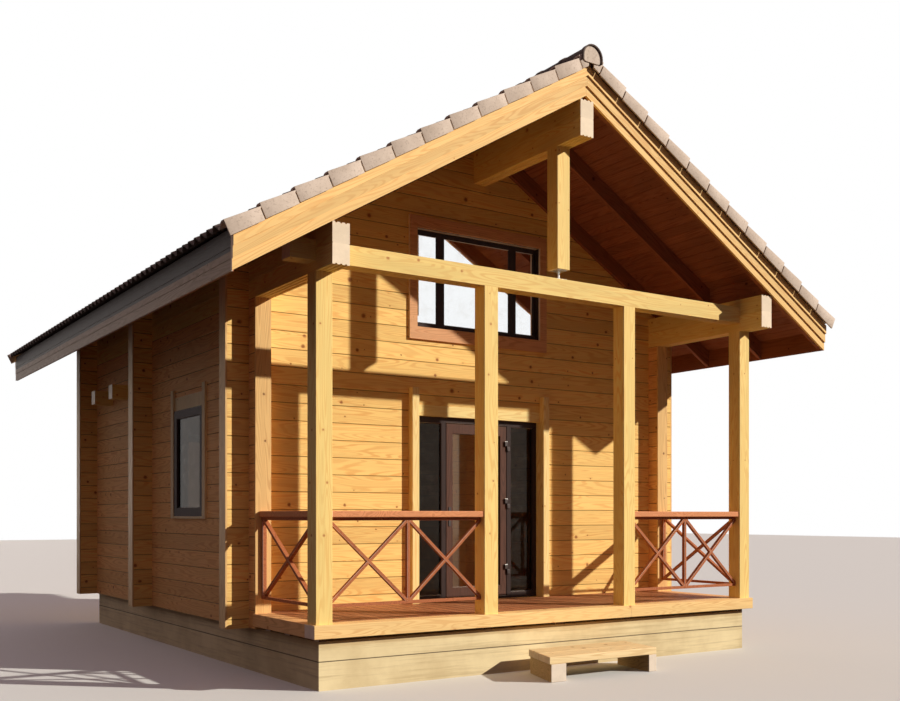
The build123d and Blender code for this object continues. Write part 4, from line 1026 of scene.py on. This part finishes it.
# Side and back windows: one sealed pane in each brown frame, held by a square bead that is mitred
# at the corners and pinned on from outside.
SIDE_WINDOW_Y = 1.753
BACK_WINDOW_X = 1.450
SIDE_PANE_HALF = 0.384
side_pane = glass_material("Dim side glass", colour(112, 92, 70), 0.08, 0.95, 0.02, 1.12)
dress(side_pane, "window_glass")
glass_low, glass_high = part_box("window_glass")
side_z, side_half = upright_span("window_glass")
beads = [
    bead((glass_low.x, SIDE_WINDOW_Y, side_z), SIDE_PANE_HALF, side_half, -math.pi / 2),
    bead((glass_high.x, SIDE_WINDOW_Y, side_z), SIDE_PANE_HALF, side_half, math.pi / 2),
]
for pane_x in (-BACK_WINDOW_X, BACK_WINDOW_X):
    beads.append(bead((pane_x, glass_high.y, side_z), SIDE_PANE_HALF, side_half, math.pi))
finished(joined(beads), "side_window_beads", brown_frame)

# Entrance: proud pine jambs and a head board, fixed side lights, and a glazed leaf that opens
# outward on three hinges, with a lever handle on a long plate.
casing_pine = timber(
    "Pine casings", (colour(250, 222, 152), colour(226, 176, 104), PINE_KNOT), ALONG_Z, ALONG_X,
    spacing=0.6, knot_size=0.01,
)
head_pine = timber(
    "Pine head boards", (colour(254, 228, 154), colour(232, 184, 112), PINE_KNOT),
    ALONG_X, ALONG_Z, spacing=0.5, knot_size=0.01,
)
leaf_wood = timber(
    "Brown door leaf", (colour(92, 62, 50), colour(66, 44, 34), colour(38, 24, 18)),
    ALONG_Z, ALONG_X, spacing=0.9, knot_size=0.004,
)
enamel = steel_material("Brown enamelled steel", colour(58, 46, 42), colour(42, 34, 32), 0.35, 0.38)
door_pane = glass_material("Door glass", colour(206, 170, 136), 0.18, 0.98, 0.02)
light_pane = glass_material("Side light glass", colour(120, 100, 78), 0.06, 0.98, 0.02)
dress(head_pine, "door_head_board")
eased("door_jambs", 0.005, casing_pine)
dress(brown_frame, "side_lights", "door_threshold_and_head")
dress(leaf_wood, "door_leaf")
dress(door_pane, "door_glass")
dress(light_pane, "side_light_glass")
eased("door_fittings", 0.0025, enamel, "door")
eased("hinge_seats", 0.0015, enamel)

# Hinge covers: brown enamelled covers snapped over the two halves of each hinge, the upper on the
# leaf and the lower on the frame, so that they pass each other; a pale zinc cap on the top of each
# is a painted highlight where light catches the hinge.
HINGE_X = 0.433
HINGE_FACE_Y = 0.060
HINGE_HEIGHTS = (0.945, 1.725, 2.405)
COVER_WIDTH, COVER_DEPTH, COVER_HEIGHT = 0.034, 0.022, 0.052
COVER_OFF = 0.003 + COVER_WIDTH / 2
COVER_RISE = 0.029
CAP_LIP = 0.002
CAP_HEIGHT = 0.005
CAP_RISE = 0.0575


def hinge_row(side, rise, lip, height, easing):
    """One block on each hinge, on one side of its pin; lip makes it that much larger all round."""
    x = HINGE_X + side * COVER_OFF
    y = HINGE_FACE_Y - COVER_DEPTH / 2 - lip
    size = (COVER_WIDTH + 2 * lip, COVER_DEPTH + 2 * lip, height)
    return joined([block((x, y, hinge_z + rise), size, easing) for hinge_z in HINGE_HEIGHTS])


leaf_covers = hinge_row(-1, COVER_RISE, 0, COVER_HEIGHT, 0.004)
finished(leaf_covers, "hinge_covers_leaf", enamel, "door")
frame_covers = hinge_row(1, -COVER_RISE, 0, COVER_HEIGHT, 0.004)
finished(frame_covers, "hinge_covers_frame", enamel)
# Pale zinc caps: a painted highlight on top of each hinge.
caps = hinge_row(-1, CAP_RISE, CAP_LIP, CAP_HEIGHT, 0.0015)
finished(caps, "hinge_highlight_caps", zinc, "door")

# Entrance beads: square wooden beads, mitred round the panes of the side lights and of the door
# and pinned on from outside, each stained like the frame that it is on.
LIGHT_X = 0.6625
LIGHT_HALF = 0.1675
light_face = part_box("side_light_glass")[0].y
light_z, light_half = upright_span("side_light_glass")
beads = [bead((side * LIGHT_X, light_face, light_z), LIGHT_HALF, light_half, 0) for side in (-1, 1)]
finished(joined(beads), "side_light_beads", brown_frame)
glass_low, glass_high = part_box("door_glass")
door_z, door_half = upright_span("door_glass")
door_bead = bead((0, glass_low.y, door_z), glass_high.x, door_half, 0)
finished(door_bead, "door_bead", leaf_wood, "door")

# Entry step: two thick sawn boards nailed across two short bearers, knocked together by eye and
# left to weather. It stands loose in front of the terrace.
STEP_BOARD = 0.294
STEP_FRONT = -2.242
step_wood = timber(
    "Weathered step boards", (colour(255, 226, 172), colour(220, 178, 120), SPRUCE_KNOT),
    ALONG_X, ALONG_Y, STEP_BOARD, STEP_FRONT, spacing=0.4,
)
step_dark = timber(
    "Weathered step bearers", (colour(226, 196, 150), colour(176, 144, 104), SPRUCE_KNOT),
    ALONG_Y, ALONG_Z, spacing=0.4,
)
eased("step_boards", 0.006, step_wood)
eased("step_bearers", 0.005, step_dark)

# Lights and floor: one lamp from the front right, a level softer one that reaches only the back,
# a soft surround that is stronger overhead and white behind the house, and a plain pale floor.
LAMP_COLOUR = (1.0, 0.96, 0.88)
FILL_COLOUR = (1.0, 0.74, 0.84, 1.0)
WHITE = (1.0, 1.0, 1.0, 1.0)
FILL_LEVEL = 0.02
FILL_OVERHEAD = 0.34
FLOOR_SIZE = 120
for name, energy, angle, travel in (
    ("Front key", 4.3, 0.9, (-1.075, 1, -0.665)),
    ("Back lamp", 2.2, 12, (0, -1, 0)),
):
    bpy.ops.object.light_add(type="SUN", location=-8 * Vector(travel))
    lamp = bpy.context.object
    lamp.name = name
    lamp.data.energy = energy
    lamp.data.angle = math.radians(angle)
    lamp.data.color = LAMP_COLOUR
    lamp.rotation_mode = "QUATERNION"
    lamp.rotation_quaternion = Vector(travel).to_track_quat("-Z", "Y")


def seen_directly(tree):
    """The kinds of ray, and 1 for a ray that comes from the eye or off something glossy."""
    path = add_node(tree, "ShaderNodeLightPath").outputs
    return path, sums(tree, "MAXIMUM", path["Is Camera Ray"], path["Is Glossy Ray"])


world = bpy.context.scene.world or bpy.data.worlds.new("Surround")
bpy.context.scene.world = world
world.use_nodes = True
tree = world.node_tree
surround = tree.nodes["Background"]
path, seen = seen_directly(tree)
seen = sums(tree, "MAXIMUM", seen, path["Is Transmission Ray"])
seen = sums(tree, "MULTIPLY", seen, sums(tree, "LESS_THAN", path["Diffuse Depth"], 0.5))
direction = add_node(tree, "ShaderNodeTexCoord").outputs["Generated"]
rise = sums(tree, "MAXIMUM", parts_of(tree, direction)[2], 0.0)
fill = sums(tree, "ADD", FILL_LEVEL, sums(tree, "MULTIPLY", rise, FILL_OVERHEAD))
strength = sums(tree, "ADD", sums(tree, "MULTIPLY", fill, sums(tree, "SUBTRACT", 1.0, seen)), seen)
tree.links.new(strength, surround.inputs["Strength"])
tree.links.new(blended(tree, seen, FILL_COLOUR, WHITE), surround.inputs["Color"])

bpy.ops.mesh.primitive_plane_add(size=FLOOR_SIZE, location=(0, 0, 0))
floor = bpy.context.object
floor.name = "Floor"
floor_paint, tree, shader, place = new_material("Pale floor")
paint = blended(tree, seen_directly(tree)[1], colour(58, 44, 42), colour(226, 224, 219))
tree.links.new(paint, shader.inputs["Base Color"])
shader.inputs["Roughness"].default_value = 0.9
floor.data.materials.append(floor_paint)
